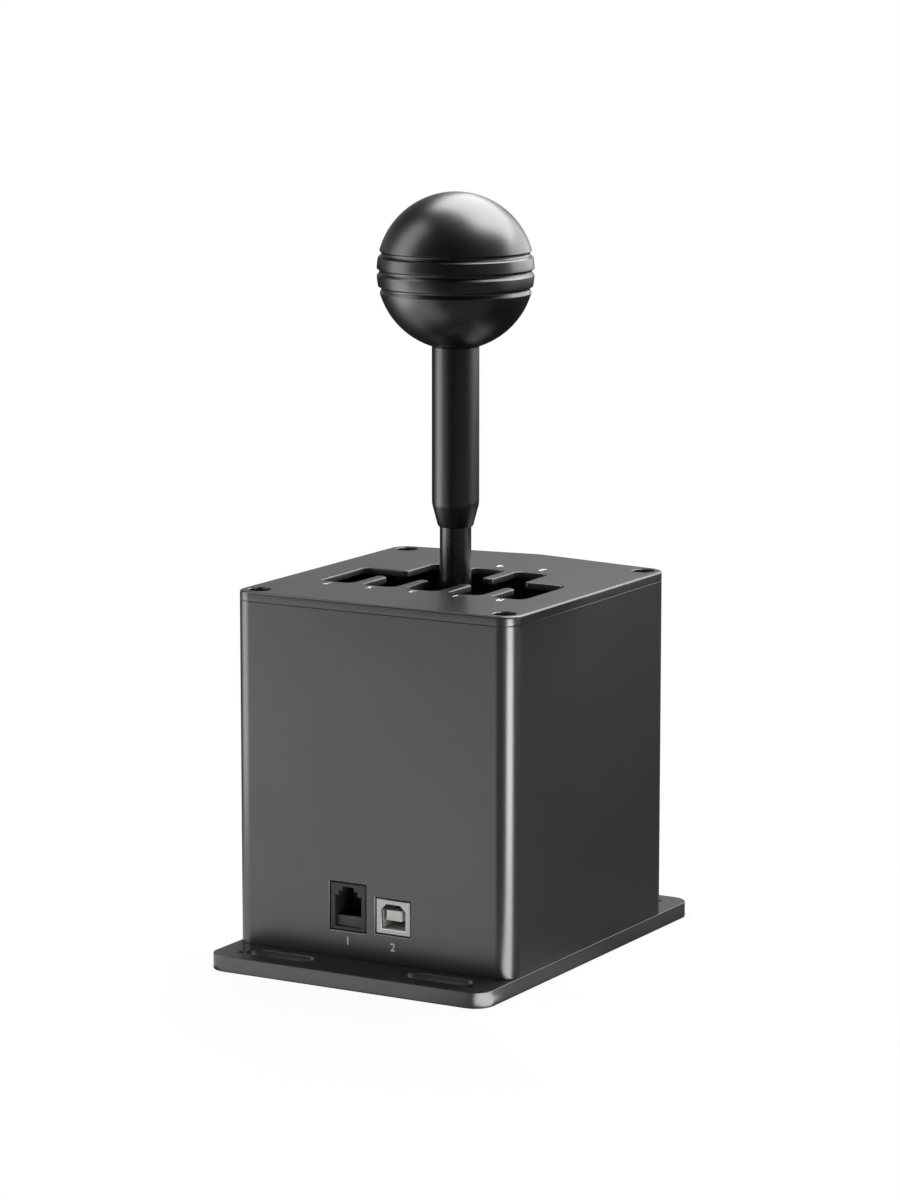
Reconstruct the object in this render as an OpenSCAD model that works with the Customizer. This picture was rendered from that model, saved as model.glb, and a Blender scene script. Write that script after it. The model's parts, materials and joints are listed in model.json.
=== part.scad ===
// Sim racing gear shifter: a lever in a seven speed and reverse gate, on a slotted mounting plate.
// Millimetres, +Z up, origin in the middle of the plate's underside, port wall toward -Y, driver at +Y.

/* [Base plate] */
// Thickness of the mounting plate
base_t = 5; // [4:0.5:8]
// Plate in front of the housing
front_flange = 17.5; // [15:0.5:30]
// Plate behind the housing's rear corners
rear_flange = 20; // [19:0.5:30]
// Corner radius of the plate
base_r = 6.5; // [2:0.5:10]
// Length of a mounting slot, end to end
mount_len = 23.5; // [12:0.5:26]
// Width of a mounting slot
mount_w = 6.5; // [4.5:0.5:7]
// Spacing of the mounting slots across the plate
mount_pitch = 57; // [46:1:60]
// Middle of a mounting slot to the plate's front or rear edge
mount_edge = 10; // [8:0.5:11]
// Diameter of a pilot hole
pilot_d = 2; // [1:0.5:2.5]
// Pilot hole to the plate's side edge
pilot_side = 8.5; // [7:0.5:9]
// Pilot hole to the plate's front or rear edge
pilot_edge = 7.3; // [5:0.1:7.5]

/* [Housing] */
// Width of the housing and of the plates
body_w = 100; // [98:1:130]
// Depth of the housing at its sides
body_d = 102.5; // [100:0.5:130]
// Height of the housing
body_h = 110; // [105:1:130]
// Rise of the ridge in the middle of the rear wall
ridge = 7.5; // [4:0.5:10]
// Wall thickness
wall = 4; // [3:0.5:5]
// Radius of the upright corners
corner_r = 6; // [5.5:0.5:8]

/* [Gate plate] */
// Thickness of the gate plate
plate_t = 3; // [3:0.5:5]
// Thickness left at the gate, over the relief pocket
gate_lip = 2; // [1.5:0.1:2.4]
// Spacing of the gate's columns
gate_pitch = 15.5; // [15:0.1:16]
// Width of the gate's slots and of its neutral channel
gate_slot = 11.8; // [11.6:0.1:12.2]
// Corner radius at the slot ends
gate_r = 2.8; // [2:0.1:3.2]
// Radius at the tips of the teeth between slots
tooth_r = 1.5; // [0.5:0.1:1.5]
// Lever travel along a slot, from neutral to a gear
stroke = 16.4; // [14:0.1:18]

/* [Lever] */
// Front wall to the lever
lever_setback = 53; // [52:0.5:56]
// Diameter of the lever's rod
shaft_d = 10; // [8:0.5:10]
// Bare rod between the gate plate and the sleeve
neck_len = 17; // [15:1:30]
// Diameter of the sleeve
sleeve_d = 15; // [13:0.5:20]
// Length of the sleeve
sleeve_len = 56; // [45:1:80]
// Length of the sleeve's tapered foot
taper_len = 7.4; // [5:0.1:12]
// Diameter of the knob
knob_d = 49.6; // [40:0.1:56]
// Number of rings cut round the knob
groove_count = 3; // [1:1:5]
// Spacing of the rings
groove_pitch = 5.6; // [4:0.1:7]
// Width of a ring
groove_w = 1.6; // [1:0.1:2]

/* [Mechanism] */
// Height of the pivots over the plate
pivot_h = 21; // [21:0.5:24]
// Diameter of the shift axle
axle_d = 6; // [5:0.5:7]
// Diameter of the two select pins
pin_d = 8; // [6:0.5:9]
// Wall of the bronze bushes
bush_wall = 1.8; // [1.2:0.1:2.2]
// Detent plungers over the shift axle
detent_r = 17; // [16.5:0.1:18]
// Lockout plunger beside the select axis
lockout_r = 22; // [21:0.5:23]
// Diameter of a plunger's threaded body
plunger_d = 6; // [5:0.5:6.5]
// Travel of a plunger's pin into its notch
plunger_travel = 0.6; // [0.3:0.1:0.6]
// Middle of a centring spring to the select axis
spring_x = 32.5; // [32:0.5:34]
// Wire of the centring springs
spring_wire = 1.1; // [0.8:0.1:1.3]
// Coils of a centring spring
spring_turns = 6; // [4:1:7]

/* [Ports] */
// Height of the board's standoffs
board_lift = 7.2; // [6:0.2:9]
// Thickness of the boards
board_t = 1.6; // [1.2:0.2:2]
// Middle of the data jack to the housing's middle plane
jack_x = 8.4; // [8:0.1:11]
// Middle of the square socket to the housing's middle plane
usb_x = 7.9; // [7.5:0.1:11]
// Gap between a socket and its window
window_gap = 0.3; // [0.2:0.1:0.6]

/* [Fits] */
// Radial gap of a shaft that turns in its bush
run_gap = 0.05; // [0.02:0.01:0.08]
// Radial gap of a seated pin, screw or bush
seat_gap = 0.02; // [0.01:0.01:0.05]

/* [Hidden] */
$fn = 48;
eps = 0.5;
screw_r = 2;
head_r = 3.8;
head_h = head_r - screw_r;
sink = 0.1;
hex_r = 1.5;
hex_depth = 1.3;
corner_bite = 11;
foot_bite = 9;
bite_gap = 1;
base_w = body_w;
base_d = front_flange + body_d + rear_flange;
front_y = front_flange - base_d / 2;
rear_y = front_y + body_d;
plate_z = base_t + body_h;
top_z = plate_z + plate_t;
lever_y = front_y + lever_setback;
pivot_z = base_t + pivot_h;
shaft_r = shaft_d / 2;
knob_r = knob_d / 2;
sleeve_z = top_z + neck_len;
sleeve_top = sleeve_z + sleeve_len;
knob_z = sleeve_top + 0.2 + knob_r;
arm = top_z - gate_lip / 2 - pivot_z;
shift_angle = atan(stroke / arm);
column_angle = atan(gate_pitch / arm);
outer_angle = atan(2 * gate_pitch / arm);
gate_end = stroke / cos(outer_angle) + shaft_r / cos(shift_angle) + gate_lip / 2 * tan(shift_angle) + 0.35;
axle_r = axle_d / 2;
pin_r = pin_d / 2;
axle_bush_r = axle_r + run_gap + bush_wall;
pin_bush_r = pin_r + run_gap + bush_wall;
block_w = 24.8;
block_d = 16;
block_top = detent_r + 3.5;
block_low = 9;
cheek_in = block_w / 2 + 1;
cheek_out = 24;
cheek_top = detent_r + plunger_d / 2 + 2;
yoke_w = 54;
yoke_d = 35;
yoke_h = 20;
yoke_open_d = 23;
bearing_gap = 2;
front_bracket_t = 6;
rear_bracket_t = 10;
bracket_y = yoke_d / 2 + bearing_gap;
boss_r = pin_bush_r + 5;
foot_h = 12;
foot_w = 34;
foot_screw_x = 12.5;
tower_w = plunger_d + 10;
tower_x = lockout_r + tower_w / 2;
plunger_r = plunger_d / 2;
plunger_len = 15;
tip_r = 1.5;
notch_r = tip_r + 0.15;
notch_depth = 0.7;
tip_gap = 0.1;
nose_gap = 0.5;
tip_len = 7;
tip_bore = tip_r + run_gap;
plunger_hex = 2.5;
plunger_bore = 11;
nut_t = 3;
nut_wall = 2.8;
lock_nut_t = 5;
lock_nut_wall = 4.2;
ear_w = 10;
ear_t = 6;
ear_y = yoke_d / 2 - ear_w / 2;
ear_x = spring_x + 5.5;
spring_r = 3.6;
seat_t = 2;
post_r = spring_r - spring_wire / 2 - 0.5;
post_h = 6;
stud_r = 1.5;
stud_len = 4;
board_w = 52;
board_screw_len = 4;
board_head_r = 2.75;
board_head_h = 2;
board_hex_r = 1.2;
board_z = base_t + board_lift;
board_top = board_z + board_t;
board_front = front_y + wall + 1;
board_rear = lever_y - bracket_y - front_bracket_t - 2;
board_hole = [[board_w / 2 - 3.5, board_front + 3.5], [10, board_rear - 3]];
jack_w = 12.7;
jack_h = 15;
jack_len = 14;
usb_w = 12.2;
usb_h = 11;
usb_len = 16;
usb_lift = 0.6;
usb_mouth = 8.45;
usb_deep = 12;
usb_floor = 1.6;
usb_shoulder = 7.6;
usb_roof = 9.4;
usb_roof_w = 4.8;
tongue_w = 5.6;
tongue_h = 3.3;
tongue_y = 0.6;
tongue_z = 4.3;
jack_sill_w = 10.5;
jack_sill_y = 1.3;
jack_sill_t = 1.4;
jack_sill_z = 0.5;
jack_sill_h = 3.9;
face_sink = 0.3;
sensor_lift = 2;
sensor_w = 24;
sensor_d = 18;
sensor_top = base_t + sensor_lift + board_t;
sensor_hole = [sensor_w / 2 - 2.5, sensor_d / 2 - 2.5];
ribbon_w = 6;
ribbon_t = 0.8;
ribbon_x = 18;
sensor_screw_r = 1;
sensor_screw_len = 2.5;
sensor_head_h = 1.2;
chip_x = 15.5;
chip_setback = 9;
chip_w = 7;
chip_t = 1.2;
regulator_w = 5;
regulator_t = 1.6;
crystal_w = 3.2;
header_d = 3;
header_h = 4;
stem_r = 4;
stem_len = 15;
insert_r = 6;
insert_up = 0.8;
insert_len = 17.1;
sleeve_cap = 15;

function unit(v) = v / norm(v);
function wrap(i, n) = (i + n) % n;
function inward(a, b) = unit([a[1] - b[1], b[0] - a[0]]);
function cross2(a, b) = a[0] * b[1] - a[1] * b[0];
function meet(p, d, q, e) = p + d * (cross2(q - p, e) / cross2(d, e));
// Points of a closed outline moved inward by t
function inset(pts, t) = [for (i = [0 : len(pts) - 1])
    let (n = len(pts), a = pts[wrap(i - 1, n)], b = pts[i], c = pts[wrap(i + 1, n)])
    meet(a + inward(a, b) * t, b - a, b + inward(b, c) * t, c - b)];
function box_points(w, d) = [[-w / 2, -d / 2], [w / 2, -d / 2], [w / 2, d / 2], [-w / 2, d / 2]];
body_points = [[-body_w / 2, front_y], [body_w / 2, front_y], [body_w / 2, rear_y],
    [0, rear_y + ridge], [-body_w / 2, rear_y]];
corner_points = [for (i = [0, 1, 2, 4]) inset(body_points, corner_r)[i]];
foot_screws = [[-foot_screw_x, lever_y - bracket_y - front_bracket_t / 2],
    [foot_screw_x, lever_y - bracket_y - front_bracket_t / 2],
    [-foot_screw_x, lever_y + bracket_y + rear_bracket_t / 2],
    [lockout_r, lever_y + bracket_y + rear_bracket_t / 2]];

// Helix of one spring along +Z, as points
function helix(r, height, turns) = [for (i = [0 : 8 * turns])
    [r * cos(45 * i), r * sin(45 * i), height * i / (8 * turns)]];
// Least gap between coils, measured on the points
function coil_gap(path, wire) = min([for (i = [0 : len(path) - 6], j = [i + 5 : len(path) - 1])
    norm(path[i] - path[j])]) - wire;

// Closed outline with round corners
module rounded(pts, radii) {
    n = len(pts);
    centres = [for (i = [0 : n - 1]) inset(pts, radii[i])[i]];
    polygon([for (i = [0 : n - 1], side = [-1, 0])
        centres[i] - inward(pts[wrap(i + side, n)], pts[wrap(i + side + 1, n)]) * radii[i]]);
    for (i = [0 : n - 1]) translate(centres[i]) circle(radii[i]);
}

module body_outline() {
    rounded(body_points, [corner_r, corner_r, corner_r, 2, corner_r]);
}

module at_pivot() {
    translate([0, lever_y, pivot_z]) children();
}

// Six-sided tube along a path of points
module tube(path, r) {
    n = len(path);
    points = [for (i = [0 : n - 1], k = [0 : 5])
        let (t = unit(path[min(i + 1, n - 1)] - path[max(i - 1, 0)]),
            u = unit(cross([0, 0, 1], t)), v = cross(t, u))
        path[i] + r * (cos(60 * k) * u + sin(60 * k) * v)];
    sides = [for (i = [0 : n - 2], k = [0 : 5])
        let (a = 6 * i + k, b = 6 * i + (k + 1) % 6)
        each [[a, a + 6, b + 6], [a, b + 6, b]]];
    ends = [for (k = [1 : 4]) each [[0, k, k + 1], [6 * n - 6, 6 * n - 5 + k, 6 * n - 6 + k]]];
    polyhedron(points, concat(sides, ends));
}

module slot_cut(len, w, h) {
    translate([-(len - w) / 2, -w / 2, 0]) cube([len - w, w, h]);
    for (s = [-1, 1]) translate([s * (len - w) / 2, 0, 0]) cylinder(d = w, h = h);
}

// Countersunk screw with its head's face at z = 0 and its point upward
module sunk_screw(len) {
    difference() {
        union() {
            cylinder(r1 = head_r, r2 = screw_r, h = head_h);
            cylinder(r = screw_r, h = len);
        }
        translate([0, 0, -eps]) cylinder(r = hex_r, h = hex_depth + eps, $fn = 6);
    }
}

// Hole for that screw in a plate of thickness t
module sunk_hole(t) {
    translate([0, 0, -eps]) cylinder(r = head_r + sink, h = eps + sink);
    translate([0, 0, sink]) cylinder(r1 = head_r + sink, r2 = screw_r + sink, h = head_h);
    cylinder(r = screw_r + sink, h = t + eps);
}

// Plunger parts lie along +X, with the face that the pin meets at x = 0
module plunger_body() {
    rotate([0, 90, 0]) difference() {
        translate([0, 0, nose_gap]) cylinder(r = plunger_r, h = plunger_len);
        cylinder(r = tip_bore, h = nose_gap + plunger_bore);
        translate([0, 0, nose_gap + plunger_len - plunger_hex])
            cylinder(r = hex_r, h = plunger_hex + eps, $fn = 6);
    }
}

module plunger_nut(x) {
    rotate([0, 90, 0]) translate([0, 0, x]) difference() {
        cylinder(r = plunger_r + nut_wall, h = nut_t, $fn = 6);
        translate([0, 0, -eps]) cylinder(r = plunger_r + seat_gap, h = nut_t + 2 * eps);
    }
}

module plunger_pin() {
    rotate([0, 90, 0]) translate([0, 0, tip_gap]) rotate_extrude() intersection() {
        square([tip_r, tip_len]);
        union() {
            translate([0, tip_r]) circle(tip_r);
            translate([0, tip_r]) square([tip_r, tip_len]);
        }
    }
}

plunger_coil = helix(tip_r - 0.4, plunger_bore + nose_gap - tip_gap - tip_len - 0.45, 4);
echo("plunger spring, least gap between coils", coil_gap(plunger_coil, 0.4));

module plunger_spring() {
    rotate([0, 90, 0]) translate([0, 0, tip_gap + tip_len + 0.22]) tube(plunger_coil, 0.2);
}

module base_plate() {
    color("dimgray") difference() {
        linear_extrude(base_t) rounded(box_points(base_w, base_d), [base_r, base_r, base_r, base_r]);
        for (sx = [-1, 1], sy = [-1, 1]) {
            translate([sx * mount_pitch / 2, sy * (base_d / 2 - mount_edge), -eps])
                slot_cut(mount_len, mount_w, base_t + 2 * eps);
            translate([sx * (base_w / 2 - pilot_side), sy * (base_d / 2 - pilot_edge), -eps])
                cylinder(d = pilot_d, h = base_t + 2 * eps);
            translate([sx * spring_x, lever_y + ear_y, base_t - stud_len])
                cylinder(r = stud_r + seat_gap, h = stud_len + eps);
            translate([sx * sensor_hole[0], lever_y + sy * sensor_hole[1], base_t - 3])
                cylinder(r = sensor_screw_r + seat_gap, h = 3 + eps);
        }
        for (p = corner_points) translate(p) sunk_hole(base_t);
        for (p = foot_screws) translate(p) sunk_hole(base_t);
        for (sx = [-1, 1], p = board_hole) translate([sx * p[0], p[1], base_t - stud_len])
            cylinder(r = stud_r + seat_gap, h = stud_len + eps);
    }
}

module housing() {
    color("dimgray") difference() {
        translate([0, 0, base_t]) linear_extrude(body_h) difference() {
            union() {
                difference() {
                    body_outline();
                    rounded(inset(body_points, wall), [2, 2, 2, 1, 2]);
                }
                for (p = corner_points) translate(p) circle(corner_r - 0.3);
            }
            for (p = corner_points) translate(p) circle(screw_r + seat_gap);
        }
        translate([-jack_x - jack_w / 2 - window_gap, front_y - eps, board_top - window_gap])
            cube([jack_w + 2 * window_gap, wall + 2 * eps, jack_h + 2 * window_gap]);
        translate([usb_x - usb_w / 2 - window_gap, front_y - eps, board_top + usb_lift - window_gap])
            cube([usb_w + 2 * window_gap, wall + 2 * eps, usb_h + 2 * window_gap]);
    }
}

// Rounds the corner of a tooth that lies toward sx, sy
module tooth_round(x, y, sx, sy) {
    difference() {
        translate([x - (sx < 0 ? tooth_r : eps), y - (sy < 0 ? tooth_r : eps)]) square(tooth_r + eps);
        translate([x + sx * tooth_r, y + sy * tooth_r]) circle(tooth_r);
    }
}

module gate_cut() {
    half = gate_slot / 2;
    reach = 2 * gate_pitch + half;
    r4 = [gate_r, gate_r, gate_r, gate_r];
    rounded(box_points(2 * reach, gate_slot), r4);
    for (i = [-2 : 2]) translate([i * gate_pitch, -(gate_end - half) / 2])
        rounded(box_points(gate_slot, gate_end + half), r4);
    for (i = [-1 : 1]) translate([i * gate_pitch, (gate_end - half) / 2])
        rounded(box_points(gate_slot, gate_end + half), r4);
    for (i = [-2 : 1]) {
        tooth_round(i * gate_pitch + half, -half, 1, -1);
        tooth_round((i + 1) * gate_pitch - half, -half, -1, -1);
    }
    for (i = [-1 : 1]) {
        tooth_round(i * gate_pitch + half, half, 1, 1);
        tooth_round(i * gate_pitch - half, half, -1, 1);
    }
}

module gate_plate() {
    pocket_w = 4 * gate_pitch + gate_slot + 6;
    color("dimgray") difference() {
        translate([0, 0, plate_z]) linear_extrude(plate_t) body_outline();
        translate([0, lever_y, plate_z - eps]) linear_extrude(plate_t + 2 * eps) gate_cut();
        translate([-pocket_w / 2, lever_y - gate_end - 3, plate_z - eps])
            cube([pocket_w, 2 * gate_end + 6, plate_t - gate_lip + eps]);
        for (p = corner_points) translate([p[0], p[1], top_z]) mirror([0, 0, 1]) sunk_hole(plate_t);
    }
}

module top_screws() {
    color("black") for (p = corner_points) translate([p[0], p[1], top_z - sink])
        mirror([0, 0, 1]) sunk_screw(plate_t + corner_bite);
}

module bottom_screws() {
    color("black") for (p = corner_points) translate([p[0], p[1], sink]) sunk_screw(base_t + corner_bite);
}

module bracket_screws() {
    color("black") for (p = foot_screws) translate([p[0], p[1], sink]) sunk_screw(base_t + foot_bite);
}

module front_bracket() {
    color("silver") difference() {
        translate([0, lever_y - bracket_y, 0]) rotate([90, 0, 0]) linear_extrude(front_bracket_t) {
            translate([-foot_w / 2, base_t]) square([foot_w, foot_h]);
            translate([-boss_r + 2, base_t]) square([2 * boss_r - 4, pivot_h]);
            translate([0, pivot_z]) circle(boss_r);
        }
        at_pivot() rotate([90, 0, 0]) cylinder(r = pin_bush_r + seat_gap, h = yoke_d);
        for (i = [0, 1]) translate([foot_screws[i][0], foot_screws[i][1], 0])
            cylinder(r = screw_r + seat_gap, h = base_t + foot_bite + bite_gap);
    }
}

module rear_bracket() {
    color("silver") difference() {
        translate([0, lever_y + bracket_y + rear_bracket_t, 0]) rotate([90, 0, 0])
            linear_extrude(rear_bracket_t) {
                translate([-foot_w / 2, base_t]) square([foot_w / 2 + tower_x, foot_h]);
                translate([-boss_r + 2, base_t]) square([2 * boss_r - 4, pivot_h]);
                translate([0, pivot_z]) circle(boss_r);
                translate([lockout_r - tower_w / 2, base_t]) square([tower_w, pivot_h + plunger_r + 5]);
            }
        at_pivot() rotate([-90, 0, 0]) cylinder(r = pin_bush_r + seat_gap, h = yoke_d);
        at_pivot() translate([lockout_r, 0, 0]) rotate([-90, 0, 0])
            cylinder(r = plunger_r + seat_gap, h = yoke_d);
        for (i = [2, 3]) translate([foot_screws[i][0], foot_screws[i][1], 0])
            cylinder(r = screw_r + seat_gap, h = base_t + foot_bite + bite_gap);
    }
}

// Flanged bush along +Z, its flange below z = 0
module bush(inner, outer, len, flange_r, flange_t) {
    difference() {
        union() {
            cylinder(r = outer, h = len);
            translate([0, 0, -flange_t]) cylinder(r = flange_r, h = flange_t);
        }
        translate([0, 0, -flange_t - eps]) cylinder(r = inner, h = len + flange_t + 2 * eps);
    }
}

module select_bushes() {
    color("goldenrod") at_pivot() {
        translate([0, -bracket_y, 0]) rotate([90, 0, 0])
            bush(pin_r + run_gap, pin_bush_r, front_bracket_t, pin_bush_r + 1.5, 1.2);
        translate([0, bracket_y, 0]) rotate([-90, 0, 0])
            bush(pin_r + run_gap, pin_bush_r, rear_bracket_t, pin_bush_r + 1.5, 1.2);
    }
}

module main_board() {
    color("darkgreen") difference() {
        translate([-board_w / 2, board_front, board_z]) cube([board_w, board_rear - board_front, board_t]);
        for (sx = [-1, 1], p = board_hole) translate([sx * p[0], p[1], board_z - eps])
            cylinder(r = stud_r + sink, h = board_t + 2 * eps);
    }
}

module board_standoffs() {
    color("goldenrod") for (sx = [-1, 1], p = board_hole)
        translate([sx * p[0], p[1], base_t]) difference() {
            union() {
                cylinder(r = 3, h = board_lift, $fn = 6);
                translate([0, 0, -stud_len + sink]) cylinder(r = stud_r, h = stud_len);
            }
            translate([0, 0, board_lift - board_screw_len - 1])
                cylinder(r = stud_r + seat_gap, h = board_screw_len + 1 + eps);
        }
}

module board_screws() {
    color("silver") for (sx = [-1, 1], p = board_hole) translate([sx * p[0], p[1], board_top]) {
        translate([0, 0, -board_t - board_screw_len])
            cylinder(r = stud_r, h = board_t + board_screw_len + eps);
        difference() {
            cylinder(r = board_head_r, h = board_head_h);
            translate([0, 0, board_head_h - hex_depth])
                cylinder(r = board_hex_r, h = board_head_h, $fn = 6);
        }
    }
}

module board_chips() {
    color("black") translate([0, 0, board_top]) {
        translate([chip_x, board_front + chip_setback, 0]) cube([chip_w, chip_w, chip_t]);
        translate([-chip_x - regulator_w, board_front + chip_setback, 0])
            cube([regulator_w, regulator_w, regulator_t]);
        translate([-board_hole[1][0] - 3.5 - crystal_w, board_hole[1][1] - crystal_w / 2, 0])
            cube([crystal_w, crystal_w, chip_t]);
        translate([-regulator_w / 2, board_hole[1][1] - crystal_w / 2, 0])
            cube([regulator_w, crystal_w, chip_t]);
        translate([ribbon_x, board_rear - header_d - 1, 0]) cube([ribbon_w, header_d, header_h]);
    }
}

module data_jack() {
    x0 = -jack_x;
    color("black") translate([x0, front_y + face_sink, board_top]) {
        difference() {
            translate([-jack_w / 2, 0, 0]) cube([jack_w, jack_len, jack_h]);
            translate([-4.75, -eps, 1]) cube([9.5, 11 + eps, 9.9]);
            translate([-3.4, -eps, 5]) cube([6.8, 11 + eps, 7.5]);
            translate([-2.1, -eps, 5]) cube([4.2, 11 + eps, 8.8]);
        }
        translate([-jack_sill_w / 2, jack_sill_y, jack_sill_z]) cube([jack_sill_w, jack_sill_t, jack_sill_h]);
    }
}

module data_contacts() {
    color("gold") for (i = [0 : 5])
        translate([-jack_x + (i - 2.5) * 1.5 - 0.35, front_y + face_sink + 3, board_top + 1])
            cube([0.7, 8, 3.2]);
}

module usb_shell() {
    color("silver") translate([usb_x, front_y + face_sink, board_top + usb_lift]) {
        difference() {
            translate([-usb_w / 2, 0, 0]) cube([usb_w, usb_len, usb_h]);
            translate([0, -eps, 0]) rotate([-90, 0, 0]) linear_extrude(usb_deep + eps) polygon([
                [-usb_mouth / 2, -usb_floor], [usb_mouth / 2, -usb_floor], [usb_mouth / 2, -usb_shoulder],
                [usb_roof_w / 2, -usb_roof], [-usb_roof_w / 2, -usb_roof], [-usb_mouth / 2, -usb_shoulder]]);
        }
        for (s = [-1, 1]) translate([s * (usb_w / 2 - 1) - 1, 6, -usb_lift]) cube([2, 4, usb_lift]);
    }
}

module usb_insert() {
    color("white") translate([usb_x - tongue_w / 2, front_y + face_sink + tongue_y, board_top + usb_lift + tongue_z])
        cube([tongue_w, usb_deep - tongue_y, tongue_h]);
}

module sensor_board() {
    color("darkgreen") difference() {
        translate([-sensor_w / 2, lever_y - sensor_d / 2, base_t + sensor_lift])
            cube([sensor_w, sensor_d, board_t]);
        for (sx = [-1, 1], sy = [-1, 1])
            translate([sx * sensor_hole[0], lever_y + sy * sensor_hole[1], base_t + sensor_lift - eps])
                cylinder(r = sensor_screw_r + sink, h = board_t + 2 * eps);
    }
}

module sensor_spacers() {
    color("white") for (sx = [-1, 1], sy = [-1, 1])
        translate([sx * sensor_hole[0], lever_y + sy * sensor_hole[1], base_t]) difference() {
            cylinder(r = 2.2, h = sensor_lift);
            translate([0, 0, -eps]) cylinder(r = sensor_screw_r + sink, h = sensor_lift + 2 * eps);
        }
}

module sensor_screws() {
    color("silver") for (sx = [-1, 1], sy = [-1, 1])
        translate([sx * sensor_hole[0], lever_y + sy * sensor_hole[1], sensor_top]) {
            translate([0, 0, -board_t - sensor_lift - sensor_screw_len])
                cylinder(r = sensor_screw_r, h = board_t + sensor_lift + sensor_screw_len + eps);
            cylinder(r = sensor_screw_r + 0.9, h = sensor_head_h);
        }
}

module hall_sensor() {
    color("black") translate([0, lever_y, sensor_top]) {
        translate([-1.6, -1.6, 0]) cube([3.2, 3.2, 1]);
        translate([sensor_w / 2 - 4, -ribbon_w / 2, 0]) cube([3, ribbon_w, 1.4]);
    }
}

module ribbon_cable() {
    header_x = sensor_w / 2 - 1;
    rise_y = board_rear - 1;
    color("gray") union() {
        translate([header_x, lever_y - ribbon_w / 2, base_t])
            cube([ribbon_x + ribbon_w - header_x, ribbon_w, ribbon_t]);
        translate([header_x, lever_y - ribbon_w / 2, sensor_top])
            cube([sensor_w / 2 + 1 + ribbon_t - header_x, ribbon_w, ribbon_t]);
        translate([sensor_w / 2 + 1, lever_y - ribbon_w / 2, base_t])
            cube([ribbon_t, ribbon_w, sensor_top + ribbon_t - base_t]);
        translate([ribbon_x, board_rear + 0.4, base_t])
            cube([ribbon_w, lever_y + ribbon_w / 2 - board_rear - 0.4, ribbon_t]);
        translate([ribbon_x, board_rear + 0.4, base_t])
            cube([ribbon_w, ribbon_t, board_top + 2.4 - base_t]);
        translate([ribbon_x, rise_y, board_top + 1.6]) cube([ribbon_w, 1.4 + ribbon_t, ribbon_t]);
    }
}

module spring_posts() {
    color("silver") for (s = [-1, 1]) translate([s * spring_x, lever_y + ear_y, base_t]) {
        cylinder(r = spring_r + spring_wire / 2 + 0.6, h = seat_t);
        cylinder(r = post_r, h = post_h);
        translate([0, 0, -stud_len + sink]) cylinder(r = stud_r, h = stud_len);
    }
}

spring_coil = helix(spring_r, pivot_h - seat_t - spring_wire, spring_turns);
echo("centring spring, least gap between coils", coil_gap(spring_coil, spring_wire));

module centring_spring(s) {
    color("silver") translate([s * spring_x, lever_y + ear_y, base_t + seat_t + spring_wire / 2])
        tube(spring_coil, spring_wire / 2);
}

module centring_spring_left() {
    centring_spring(-1);
}

module centring_spring_right() {
    centring_spring(1);
}

module select_yoke() {
    color("gray") at_pivot() difference() {
        union() {
            translate([-yoke_w / 2, -yoke_d / 2, -yoke_h / 2]) cube([yoke_w, yoke_d, yoke_h]);
            for (s = [-1, 1]) {
                translate([s * (cheek_in + cheek_out) / 2 - (cheek_out - cheek_in) / 2, -8, 0])
                    cube([cheek_out - cheek_in, 16, cheek_top]);
                translate([s > 0 ? 0 : -ear_x, ear_y - ear_w / 2, 0]) cube([ear_x, ear_w, ear_t]);
                translate([s * spring_x, ear_y, -3]) cylinder(r = post_r, h = 4);
            }
        }
        translate([-cheek_in, -yoke_open_d / 2, -yoke_h]) cube([2 * cheek_in, yoke_open_d, 4 * yoke_h]);
        translate([-yoke_w, 0, 0]) rotate([0, 90, 0]) cylinder(r = axle_bush_r + seat_gap, h = 2 * yoke_w);
        translate([-yoke_w, 0, detent_r]) rotate([0, 90, 0])
            cylinder(r = plunger_r + seat_gap, h = 2 * yoke_w);
        translate([0, -yoke_d, 0]) rotate([-90, 0, 0]) cylinder(r = pin_r + seat_gap, h = 2 * yoke_d);
        translate([0, yoke_d / 2 + notch_r - notch_depth, 0]) rotate([90, 0, 0]) {
            rotate([0, 0, -column_angle]) rotate_extrude(angle = 2 * column_angle)
                translate([lockout_r, 0]) circle(notch_r);
            for (a = [-outer_angle, -column_angle, column_angle, outer_angle]) rotate([0, 0, a])
                translate([lockout_r, 0, 0]) sphere(notch_r);
        }
    }
}

module select_pins() {
    len = (yoke_d - yoke_open_d) / 2 + bearing_gap;
    color("silver") at_pivot() {
        translate([0, -yoke_open_d / 2, 0]) rotate([90, 0, 0])
            cylinder(r = pin_r, h = len + front_bracket_t);
        translate([0, yoke_open_d / 2, 0]) rotate([-90, 0, 0])
            cylinder(r = pin_r, h = len + rear_bracket_t);
    }
}

module shift_bushes() {
    color("goldenrod") at_pivot() for (s = [0, 180]) rotate([0, 0, s]) translate([cheek_in, 0, 0])
        rotate([0, 90, 0])
            bush(axle_r + run_gap, axle_bush_r, yoke_w / 2 - cheek_in, axle_bush_r + 1.5, 0.7);
}

module on_cheek(side) {
    at_pivot() rotate([0, 0, side < 0 ? 180 : 0]) translate([block_w / 2, 0, detent_r]) children();
}

module on_tower() {
    at_pivot() translate([lockout_r, yoke_d / 2, 0]) rotate([0, 0, 90]) children();
}

module detent_bodies() {
    color("dimgray") for (side = [-1, 1]) on_cheek(side) plunger_body();
}

module detent_nuts() {
    color("silver") for (side = [-1, 1]) on_cheek(side) plunger_nut(cheek_out - block_w / 2);
}

module detent_spring_left() {
    color("silver") on_cheek(-1) plunger_spring();
}

module detent_spring_right() {
    color("silver") on_cheek(1) plunger_spring();
}

module detent_pin_left() {
    color("silver") on_cheek(-1) plunger_pin();
}

module detent_pin_right() {
    color("silver") on_cheek(1) plunger_pin();
}

module lockout_body() {
    color("dimgray") on_tower() plunger_body();
}

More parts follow.
